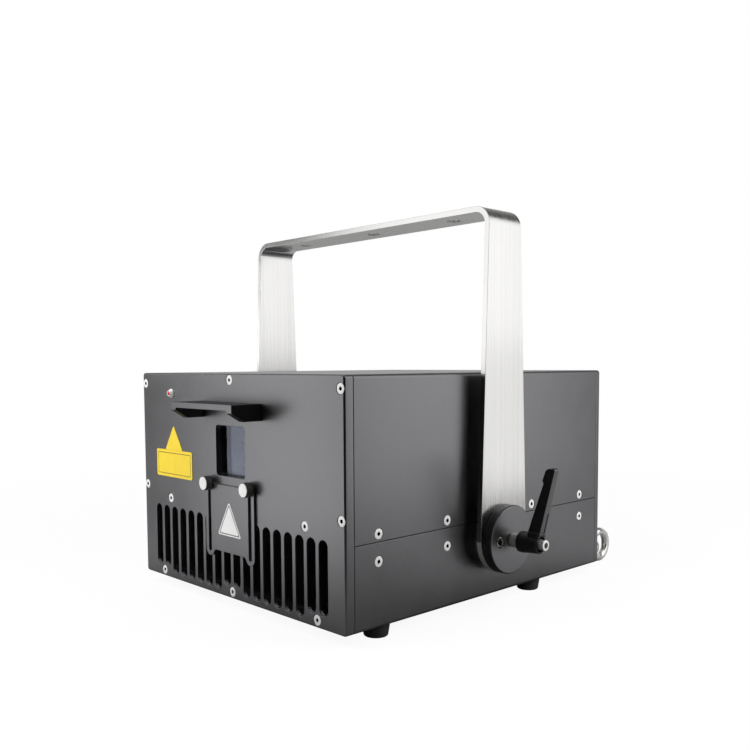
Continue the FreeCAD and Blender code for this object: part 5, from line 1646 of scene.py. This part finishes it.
    def cap(self) -> Piece:
        """One cap screw, facing +Z."""
        screw = Shop.turned("cap", self.cap_line, steps=40)
        Shop.key_socket(screw, self.cap_key, self.cap_line[-1][1], self.cap_key_deep)
        return Shop.smooth(screw)

    def cap_screws(self) -> None:
        """Four cap screws, sunk in the clamp discs."""
        for facing, sign, side in ((Facing.RIGHT, 1, "right"), (Facing.LEFT, -1, "left")):
            spots = self.screw_spots(sign * (self.face_x - self.cap_in))
            for cap in Shop.copies(self.cap(), "disc_screw_" + side + "_%d", facing, spots):
                dress(cap, CAP, "yoke_assembly", "disc_screws", sunk=SOCKET_SHADE)


@dataclass
class RearTrim:
    """Safety eye, mains inlet, key lock and sockets on the rear plate."""

    at: Layout
    eye: Point2 = (141.5, 25.5)
    eye_out: float = 18.0
    eye_r: float = 14.0
    eye_wire: float = 4.0
    collar_line: Line = ((0, -14.0), (4.0, -14.0), (4.0, 0.02), (9.0, 0.02), (9.5, 0.5), (9.5, 4.6),
                         (9.0, 5.6), (7.2, 6.6), (5.4, 8.2), (0, 8.6))
    flange_half: Point2 = (15.5, 32.0)
    flange_t: float = 2.5
    flange_r: float = 3.0
    flange_edge: float = 0.4
    box_half: Point2 = (13.5, 29.0)
    box_deep: float = 30.0
    box_out: float = 0.3
    well_half: Point2 = (11.0, 7.5)
    well_deep: float = 15.5
    well_down: float = 14.0
    pins: Line = ((-7.0, -3.0), (0.0, 3.0), (7.0, -3.0))
    pin_half: Point2 = (1.0, 2.0)
    pin_edge: float = 0.4
    rocker_up: float = 16.0
    rocker_half: Point2 = (9.5, 6.0)
    rocker_room: Point2 = (9.7, 6.9)
    rocker_room_ends: Point2 = (-10.5, 9.0)
    rocker_in: float = 0.5
    rocker_out: float = 5.0
    rocker_deep: float = 9.0
    rocker_heel: float = 3.0
    rocker_dish: float = 1.2
    rocker_steps: int = 8
    rocker_edge: float = 0.5
    lock_line: Line = ((5.7, -20.0), (9.4, -20.0), (9.4, 0), (12.2, 0), (12.5, 0.3), (12.5, 1.6), (11.2, 2.7),
                       (6.6, 3.0), (5.7, 2.6), (5.7, -20.0))
    barrel_line: Line = ((0, -19.0), (5.55, -19.0), (5.55, 2.4), (5.1, 2.9), (0, 2.9))
    key_out: float = 2.5
    key_t: float = 2.2
    key_stem: Point2 = (10.0, 4.5)
    key_near: Point2 = (13.0, 8.0)
    key_near_r: float = 3.0
    key_far: Point2 = (27.0, 8.0)
    key_far_r: float = 2.5
    key_hole: float = 3.0
    key_hole_out: float = 23.4
    key_edge: float = 0.35
    plate_half: Point2 = (26.5, 6.3)
    plate_t: float = 1.2
    plate_edge: float = 0.25
    shell_line: Line = ((-18.3, -4.2), (18.3, -4.2), (19.5, 4.2), (-19.5, 4.2))
    shell_t: float = 6.0
    shell_r: float = 1.8
    hollow_line: Line = ((-17.5, -3.4), (17.5, -3.4), (18.6, 3.4), (-18.6, 3.4))
    hollow_t: float = 8.0
    hollow_r: float = 1.3
    hollow_out: float = 1.6
    core_line: Line = ((-17.3, -3.2), (17.3, -3.2), (18.4, 3.2), (-18.4, 3.2))
    core_t: float = 1.0
    core_r: float = 1.2
    core_out: float = 1.7
    core_edge: float = 0.2
    rows: Tuple[Tuple[float, int], ...] = ((1.4, 13), (-1.4, 12))
    row_pitch: float = 2.77
    row_out: float = 2.6
    row_pin: Line = ((0, 0), (0.5, 0), (0.5, 2.4), (0.3, 2.8), (0, 2.9))
    post_x: float = 23.5
    post_flats: float = 5.0
    post_t: float = 5.0
    post_bore: float = 1.3
    post_bore_deep: float = 3.0
    post_bore_out: float = 4.5
    post_edge: float = 0.25
    can_flange: Point2 = (13.0, 15.5)
    can_flange_t: float = 2.4
    can_r: float = 10.8
    can_ends: Point2 = (-20.0, 1.2)
    bowl_line: Line = ((0, -9.6), (9.2, -9.6), (9.2, 1.6), (9.7, 2.5), (9.7, 6.0), (0, 6.0))
    can_pins: int = 3
    can_pin_off: float = 4.0
    can_pin: Line = ((0, -9.6), (1.2, -9.6), (1.2, -0.8), (0.7, 0), (0, 0.1))

    def build(self) -> None:
        """Build every piece on the rear."""
        self.safety_eye()
        self.mains_inlet()
        self.rocker()
        self.lock()
        self.data_sockets()
        self.signal_sockets()

    def at_rear(self, place: Point2, out: float = 0.0) -> Point3:
        """Point at some distance out from the rear plate's face."""
        return (place[0], self.at.y_rear + out, place[1])

    def safety_eye(self) -> None:
        """Forged ring that grows out of a collar."""
        x, z = self.eye
        y, wire = self.at.y_rear, self.eye_wire
        middle = self.at_rear(self.eye, self.eye_out)
        bpy.ops.object.select_all(action="DESELECT")
        bpy.ops.mesh.primitive_torus_add(major_radius=self.eye_r * MM, minor_radius=wire * MM,
                                         major_segments=72, minor_segments=28)
        ring = bpy.context.active_object
        ring.name = "lifting_eye"
        Shop.put(ring, Facing.RIGHT, middle)
        base = Shop.turned("collar", self.collar_line, 56, Facing.REAR, (x, y, z))
        Shop.cut(base, Shop.rod("bore", self.eye_r - wire, (-2 * wire, 2 * wire), 72, Facing.RIGHT, middle))
        Shop.combine(ring, [base], "UNION")
        wide = 2 * self.eye_r
        below = Shop.block("below", (x - wide, y - wire, z - wide), (x + wide, y, z + wide))
        Shop.cut(below, Shop.rod("hole", wire, (-2 * wire, 2 * wire), 56, Facing.REAR, (x, y, z)))
        Shop.cut(ring, below)
        dress(Shop.smooth(ring, angle=40), CHROME, "housing", "safety_eye")

    def flange(self, name: str, half: Point2, thick: float, place: Point2) -> Piece:
        """Flat flange with round corners on the rear plate.

        Args:
            name: Name of the piece.
            half: Half of its width and of its height.
            thick: Its thickness.
            place: Its middle (x, z).

        Returns:
            The flange in its place.
        """
        (w, h), r = half, self.flange_r
        obj = Shop.soften(Shop.slab(name, round_rect(-w, w, -h, h, r), thick), self.flange_edge)
        return Shop.put(obj, Facing.REAR, self.at_rear(place))

    def mains_inlet(self) -> None:
        """Flanged inlet with a socket, three blades and the rocker's window."""
        x, z = self.at.inlet
        y, deep = self.at.y_rear, self.well_deep
        obj = self.flange("inlet_body", self.flange_half, self.flange_t, self.at.inlet)
        (w, h), low = self.box_half, z - self.well_down
        box = Shop.block("box", (x - w, y - self.box_deep, z - h), (x + w, y + self.box_out, z + h))
        Shop.combine(obj, [box], "UNION")
        w, h = self.well_half
        outline = round_rect(-w, w, -h, h, self.flange_r)
        well = Shop.slab("socket", outline, 2 * deep, Facing.REAR, (x, y - deep, low))
        (w, h), (start, end), mid = self.rocker_room, self.rocker_room_ends, z + self.rocker_up
        window = Shop.block("window", (x - w, y + start, mid - h), (x + w, y + end, mid + h))
        Shop.cut(obj, well, window)
        dress(Shop.smooth(obj), PLASTIC, "housing", "power_inlet")
        w, h = self.pin_half
        for i, (off, up) in enumerate(self.pins):
            px, pz = x + off, low + up
            pin = Shop.block("inlet_pin_%d" % (i + 1), (px - w, y - deep, pz - h), (px + w, y, pz + h))
            dress(Shop.smooth(Shop.soften(pin, self.pin_edge)), ZINC, "housing")

    def rocker(self) -> None:
        """Dished rocker of the mains switch."""
        x, z = self.at.inlet[0], self.at.inlet[1] + self.rocker_up
        y = self.at.y_rear - self.rocker_in
        (w, h), face, n = self.rocker_half, y + self.rocker_out, self.rocker_steps
        back, heel = face - self.rocker_deep, self.rocker_heel
        line = [(face, z + h)]
        for i in range(1, n):
            line.append((face - self.rocker_dish * math.sin(math.pi * i / n), z + h - 2 * h * i / n))
        line += [(face, z - h), (y, z - h), (back, z - heel), (back, z + heel), (y, z + h)]
        obj = Shop.slab("mains_rocker", line, 2 * w, Facing.RIGHT, (x - w, 0, 0))
        Shop.soften(obj, self.rocker_edge, angle=40)
        dress(Shop.smooth(obj), LEVER, "rocker", "power_rocker")

    def lock(self) -> None:
        """Lock body, and the barrel with its key."""
        place = self.at_rear(self.at.key)
        body = Shop.turned("lock_body", self.lock_line, 56, Facing.REAR, place)
        dress(Shop.smooth(body), CHROME, "housing", "key_lock")
        barrel = Shop.turned("lock_key", self.barrel_line, 40, Facing.REAR, place)
        Shop.combine(barrel, [self.key_blade()], "UNION")
        dress(Shop.smooth(barrel), ZINC, "key", "switch_key")

    def key_blade(self) -> Piece:
        """Flat key with a round-cornered bow and a ring hole."""
        x, z = self.at.key
        y = self.at.y_rear + self.key_out
        (stem, half), (near, near_up), (far, far_up) = self.key_stem, self.key_near, self.key_far
        line = [(y, z - half), (y + stem, z - half)]
        line += arc((y + near, z - near_up), self.key_near_r, 180, 270, 5)
        line += arc((y + far, z - far_up), self.key_far_r, 270, 360, 5)
        line += arc((y + far, z + far_up), self.key_far_r, 0, 90, 5)
        line += arc((y + near, z + near_up), self.key_near_r, 90, 180, 5)
        line += [(y + stem, z + half), (y, z + half)]
        blade = Shop.slab("blade", line, self.key_t, Facing.RIGHT, (x - self.key_t / 2, 0, 0))
        ends, spot = (-2 * self.key_t, 2 * self.key_t), (x, y + self.key_hole_out, z)
        Shop.cut(blade, Shop.rod("hole", self.key_hole, ends, 32, Facing.RIGHT, spot))
        return Shop.soften(blade, self.key_edge, angle=50)

    def data_sockets(self) -> None:
        """Two wide sockets with a D-shaped shell, pins and jack posts."""
        (w, h), thick = self.plate_half, self.plate_t
        for i, place in enumerate(self.at.data):
            plate = Shop.slab("data_socket_%d" % (i + 1), round_rect(-w, w, -h, h, thick), thick)
            Shop.soften(plate, self.plate_edge)
            Shop.put(plate, Facing.REAR, self.at_rear(place))
            outline = round_polygon(self.shell_line, self.shell_r)
            shell = Shop.slab("shell", outline, self.shell_t, Facing.REAR, self.at_rear(place))
            Shop.combine(plate, [shell], "UNION")
            hollow = round_polygon(self.hollow_line, self.hollow_r)
            spot = self.at_rear(place, self.hollow_out)
            Shop.cut(plate, Shop.slab("well", hollow, self.hollow_t, Facing.REAR, spot))
            dress(Shop.smooth(plate), SHEET, "housing", "data_sockets")
            self.data_pins(i + 1, place)
            self.jack_posts(i + 1, place)

    def data_pins(self, number: int, place: Point2) -> None:
        """Insulator with two rows of pins.

        Args:
            number: Number of the socket.
            place: Middle of the socket (x, z).
        """
        x, z = place
        outline, spot = round_polygon(self.core_line, self.core_r), self.at_rear(place, self.core_out)
        core = Shop.slab("data_core_%d" % number, outline, self.core_t, Facing.REAR, spot)
        dress(Shop.smooth(Shop.soften(core, self.core_edge, segments=1)), PLASTIC, "housing")
        spots = [self.at_rear((x + (k - (count - 1) / 2) * self.row_pitch, z + row), self.row_out)
                 for row, count in self.rows for k in range(count)]
        pins = Shop.copies(Shop.turned("pin", self.row_pin, steps=10), "pin_%d", Facing.REAR, spots)
        dress(Shop.smooth(Shop.joined(pins, "data_pins_%d" % number)), ZINC, "housing")

    def jack_posts(self, number: int, place: Point2) -> None:
        """Two threaded hexagon posts beside a data socket.

        Args:
            number: Number of the socket.
            place: Middle of the socket (x, z).
        """
        deep = self.post_bore_deep
        for side, name in ((-1, "a"), (1, "b")):
            spot = (place[0] + side * self.post_x, place[1])
            post = Shop.slab("jack_post_%d%s" % (number, name), hexagon(self.post_flats), self.post_t,
                             Facing.REAR, self.at_rear(spot))
            Shop.cut(post, Shop.rod("bore", self.post_bore, (-deep, deep), 20, Facing.REAR,
                                    self.at_rear(spot, self.post_bore_out)))
            dress(Shop.smooth(Shop.soften(post, self.post_edge)), ZINC, "housing")

    def signal_sockets(self) -> None:
        """Two round sockets on square flanges, each with three pins."""
        for i, place in enumerate(self.at.signal):
            spot = self.at_rear(place)
            obj = self.flange("signal_socket_%d" % (i + 1), self.can_flange, self.can_flange_t, place)
            Shop.combine(obj, [Shop.rod("can", self.can_r, self.can_ends, 56, Facing.REAR, spot)], "UNION")
            Shop.cut(obj, Shop.turned("bowl", self.bowl_line, 56, Facing.REAR, spot))
            dress(Shop.smooth(obj), OXIDE, "housing", "signal_sockets")
            spots = [self.at_rear(p) for p in arc(place, self.can_pin_off, -90, 270, self.can_pins)[:-1]]
            pins = Shop.copies(Shop.turned("pin", self.can_pin, steps=16), "pin_%d", Facing.REAR, spots)
            dress(Shop.smooth(Shop.joined(pins, "signal_pins_%d" % (i + 1))), ZINC, "housing")


class Inside:
    """CAD nodes that keep their own shape and get a finish."""

    def build(self) -> None:
        """Give each node that still shows the finish of its slot."""
        slots = {p["node"]: p["material_slot"] for p in frame["record"]["subparts"]}
        for name, obj in frame["nodes"].items():
            if obj.hide_render:
                continue
            obj.data.materials.clear()
            obj.data.materials.append(BY_SLOT[slots[name]].material())
            LOG.info("%s keeps its shape, finish %s", name, slots[name])


@dataclass(frozen=True)
class Patch:
    """Lighter or darker part of the surroundings, round a direction.

    Its gain is added to their light, from none of it at one cosine from the direction to all at another.
    """

    way: Point3
    start: float
    full: float
    gain: float


@dataclass(frozen=True)
class Lamp:
    """Soft rectangular lamp; its size is in metres."""

    name: str
    at: Point3
    target: Point3
    size: Point2
    radiance: float
    mirrored: bool

    def hang(self) -> None:
        """Add the lamp to the scene; its power follows from its radiance and its area."""
        data = bpy.data.lights.new(self.name, "AREA")
        data.shape = "RECTANGLE"
        data.size, data.size_y = self.size
        data.energy = self.radiance * math.pi * self.size[0] * self.size[1]
        obj = bpy.data.objects.new(self.name, data)
        bpy.context.scene.collection.objects.link(obj)
        place = Vector(self.at) * MM
        look = (Vector(self.target) * MM - place).to_track_quat("-Z", "Y")
        obj.matrix_world = Matrix.Translation(place) @ look.to_matrix().to_4x4()
        obj.visible_glossy = self.mirrored
        obj.visible_camera = False


@dataclass
class Studio:
    """Camera, floor, surroundings and seven soft lamps.

    Ranges on the floor are in metres from the object's middle; those of the surroundings are cosines.
    """

    camera_at: Point3 = (625.0, -597.0, 219.0)
    yaw: float = 46.43
    pitch: float = -3.87
    roll: float = -0.32
    lens: float = 40.656
    sensor: float = 36.0
    shift: float = 0.0612
    clip: float = 0.01
    base: float = 0.22
    dark: float = 0.01
    shade: Range = (0.10, 0.50)
    ceiling: Range = (0.22, 0.60)
    overhead: float = 0.25
    zenith: Range = (0.76, 0.92)
    zenith_level: float = 0.70
    lift: Range = (0.22, 0.45)
    floor_size: float = 30.0
    floor_rough: float = 0.9
    floor_clouds: float = 3.0
    floor_pale: Range = (0.93, 0.95)
    floor_seen: float = 0.93
    floor_reach: Range = (0.30, 1.20)
    # To all but the view, the floor carries painted light: shade, shadow, fall-off and glow.
    floor_mirrored: Range = (0.03, 0.28)
    floor_shade: Range = (0.20, 0.55)
    floor_dark: float = 0.05
    floor_contact: Range = (0.16, 0.36)
    contact_level: float = 0.20
    floor_lit: Range = (0.42, 0.66)
    far_level: float = 0.30
    side_way: Point3 = (0.85, -0.53, 0.0)
    floor_side: Range = (0.19, 0.24)
    side_level: float = 0.60
    floor_tone: float = 0.46
    beyond_way: Point3 = (-1.0, 0.5, 0.0)
    beyond: Range = (0.25, 0.70)
    beyond_end: Range = (1.10, 1.70)
    beyond_level: float = 0.28
    patches: Tuple[Patch, ...] = (
        Patch((-0.72, 0.69, 0.0), 0.30, 0.80, 0.72), Patch((-0.72, -0.54, 0.44), 0.906, 0.978, -0.22))
    lamps: Tuple[Lamp, ...] = (
        Lamp("front_panel_light", (-210.0, -408.0, 120.0), (-210.0, 0.0, 120.0), (0.34, 0.24), 0.93, True),
        Lamp("front_leg_light", (-722.0, -408.0, 342.0), (-722.0, 0.0, 342.0), (0.135, 0.22), 2.1, True),
        Lamp("front_upper_light", (-270.0, -408.0, 480.0), (-270.0, 0.0, 480.0), (0.46, 0.48), 1.20, True),
        Lamp("side_low_light", (572.0, 420.0, 120.0), (0.0, 420.0, 120.0), (0.62, 0.26), 0.89, True),
        Lamp("side_high_light", (572.0, 430.0, 625.0), (0.0, 430.0, 625.0), (0.66, 0.75), 1.12, True),
        Lamp("front_top_light", (-200.0, -1100.0, 1200.0), (0.0, 0.0, 120.0), (0.8, 0.8), 8.6, False),
        Lamp("side_top_light", (1000.0, 350.0, 900.0), (0.0, 0.0, 120.0), (0.8, 0.8), 6.5, False))

    @property
    def photographer(self) -> Vector:
        """Level direction from the object to the camera."""
        return Vector((self.camera_at[0], self.camera_at[1], 0)).normalized()

    def build(self) -> None:
        """Set the stage."""
        self.camera()
        self.world()
        self.floor()
        for lamp in self.lamps:
            lamp.hang()
        bpy.context.scene.view_settings.view_transform = "Standard"

    def camera(self) -> None:
        """Camera at the photograph's angle."""
        yaw, pitch, roll = (math.radians(a) for a in (self.yaw, self.pitch, self.roll))
        ahead = Vector((-math.sin(yaw) * math.cos(pitch), math.cos(yaw) * math.cos(pitch), math.sin(pitch)))
        right = Vector((math.cos(yaw), math.sin(yaw), 0))
        up = right.cross(ahead)
        turned_right = right * math.cos(roll) + up * math.sin(roll)
        turned_up = up * math.cos(roll) - right * math.sin(roll)
        data = bpy.data.cameras.new("view")
        data.sensor_width = self.sensor
        data.lens = self.lens
        data.shift_y = self.shift
        data.clip_start = self.clip
        obj = bpy.data.objects.new("view", data)
        bpy.context.scene.collection.objects.link(obj)
        turn = Matrix((turned_right, turned_up, -ahead)).transposed().to_4x4()
        obj.matrix_world = Matrix.Translation(Vector(self.camera_at) * MM) @ turn
        bpy.context.scene.camera = obj

    def world(self) -> None:
        """Surroundings: white to the view; to the object a studio with a dark photographer's side."""
        world = bpy.data.worlds.new("studio")
        bpy.context.scene.world = world
        world.use_nodes = True
        kit = Nodes(world.node_tree)
        kit.tree.nodes.clear()
        out = kit.tree.nodes.new("ShaderNodeOutputWorld")
        back = kit.tree.nodes.new("ShaderNodeBackground")
        back.inputs["Color"].default_value = (1, 1, 1, 1)
        kit.link(back.outputs[0], out.inputs[0])
        way = kit.tree.nodes.new("ShaderNodeTexCoord").outputs["Generated"]
        level: object = self.base
        for patch in self.patches:
            gain = kit.ramp(kit.towards(way, patch.way), patch.start, patch.full, 0.0, patch.gain)
            level = kit.sums("ADD", level, gain)
        rise = kit.towards(way, (0, 0, 1))
        side = kit.ramp(kit.towards(way, self.photographer), *self.shade, 1.0, self.dark)
        level = kit.sums("MULTIPLY", level, kit.sums("MAXIMUM", side, kit.ramp(rise, *self.lift, 0.0, 1.0)))
        level = kit.sums("MULTIPLY", level, kit.ramp(rise, *self.ceiling, 1.0, self.overhead))
        seen, mirror = kit.rays()
        zenith = kit.sums("MULTIPLY", mirror, kit.ramp(rise, *self.zenith, 0.0, self.zenith_level))
        level = kit.sums("MAXIMUM", level, zenith)
        kit.link(kit.between(seen, level, 1.0), back.inputs["Strength"])

    def floor(self) -> None:
        """Pale floor that is white to the view and keeps a soft shadow."""
        bpy.ops.object.select_all(action="DESELECT")
        bpy.ops.mesh.primitive_plane_add(size=self.floor_size)
        obj = bpy.context.active_object
        obj.name = "floor"
        paint = bpy.data.materials.new("pale_floor")
        self.paint_floor(Wiring(paint))
        obj.data.materials.append(paint)

    def paint_floor(self, w: Wiring) -> None:
        """Floor's surface, darker near the object and on the photographer's side to all but the view: painted
        shadow near the object, painted shade on the photographer's side and towards the right front, a
        painted fall-off of light with distance, and a painted glow in mirrors.
        """
        seen, mirror = w.rays()
        length = w.tree.nodes.new("ShaderNodeVectorMath")
        length.operation = "LENGTH"
        w.link(w.coords, length.inputs[0])
        far = length.outputs["Value"]
        # Painted shade on the photographer's side, a painted shadow near the object, and painted shade
        # towards the right front.
        near = w.ramp(w.towards(w.coords, self.photographer), *self.floor_shade, 1.0, self.floor_dark)
        near = w.sums("MULTIPLY", near, w.ramp(far, *self.floor_contact, self.contact_level, 1.0))
        side = w.ramp(w.towards(w.coords, self.side_way), *self.floor_side, 1.0, self.side_level)
        near = w.sums("MULTIPLY", near, side)
        # Painted fall-off of light: darker further from the object.
        lit = w.sums("MULTIPLY", near, w.ramp(far, *self.floor_lit, 1.0, self.far_level))
        tone = w.mixed(lit, (0.0, 0.0, 0.0), (self.floor_tone,) * 3)
        clouds = w.noise(w.coords, self.floor_clouds, detail=2.0)
        pale = w.mixed(clouds, *((level,) * 3 for level in self.floor_pale))
        w.link(w.blend(seen, tone, pale), w.shader.inputs["Base Color"])
        w.set(Roughness=self.floor_rough, Specular_IOR_Level=0.0)
        # Painted glow in mirrors, brighter far away and towards the back left.
        beyond = w.ramp(w.towards(w.coords, self.beyond_way), *self.beyond, 0.0, self.beyond_level)
        beyond = w.sums("MULTIPLY", beyond, w.ramp(far, *self.beyond_end, 1.0, 0.0))
        away = w.sums("ADD", w.ramp(far, *self.floor_reach, *self.floor_mirrored), beyond)
        share = w.sums("ADD", w.sums("MULTIPLY", seen, w.ramp(far, *self.floor_reach, self.floor_seen, 1.0)),
                       w.sums("MULTIPLY", mirror, w.sums("MULTIPLY", away, near)))
        glow = w.tree.nodes.new("ShaderNodeEmission")
        mix = w.tree.nodes.new("ShaderNodeMixShader")
        w.link(share, mix.inputs[0])
        w.link(w.shader.outputs["BSDF"], mix.inputs[1])
        w.link(glow.outputs[0], mix.inputs[2])
        w.link(mix.outputs[0], w.out.inputs["Surface"])


def main() -> None:
    """Build the projector and its stage."""
    logging.basicConfig(level=logging.INFO, format="%(message)s")
    at = Layout()
    for assembly in (Housing(at), Fasteners(at), FrontTrim(at), Yoke(at), Clamp(at), RearTrim(at), Inside(),
                     Studio()):
        LOG.info("building %s", type(assembly).__name__)
        assembly.build()


if __name__ == "__main__":
    main()
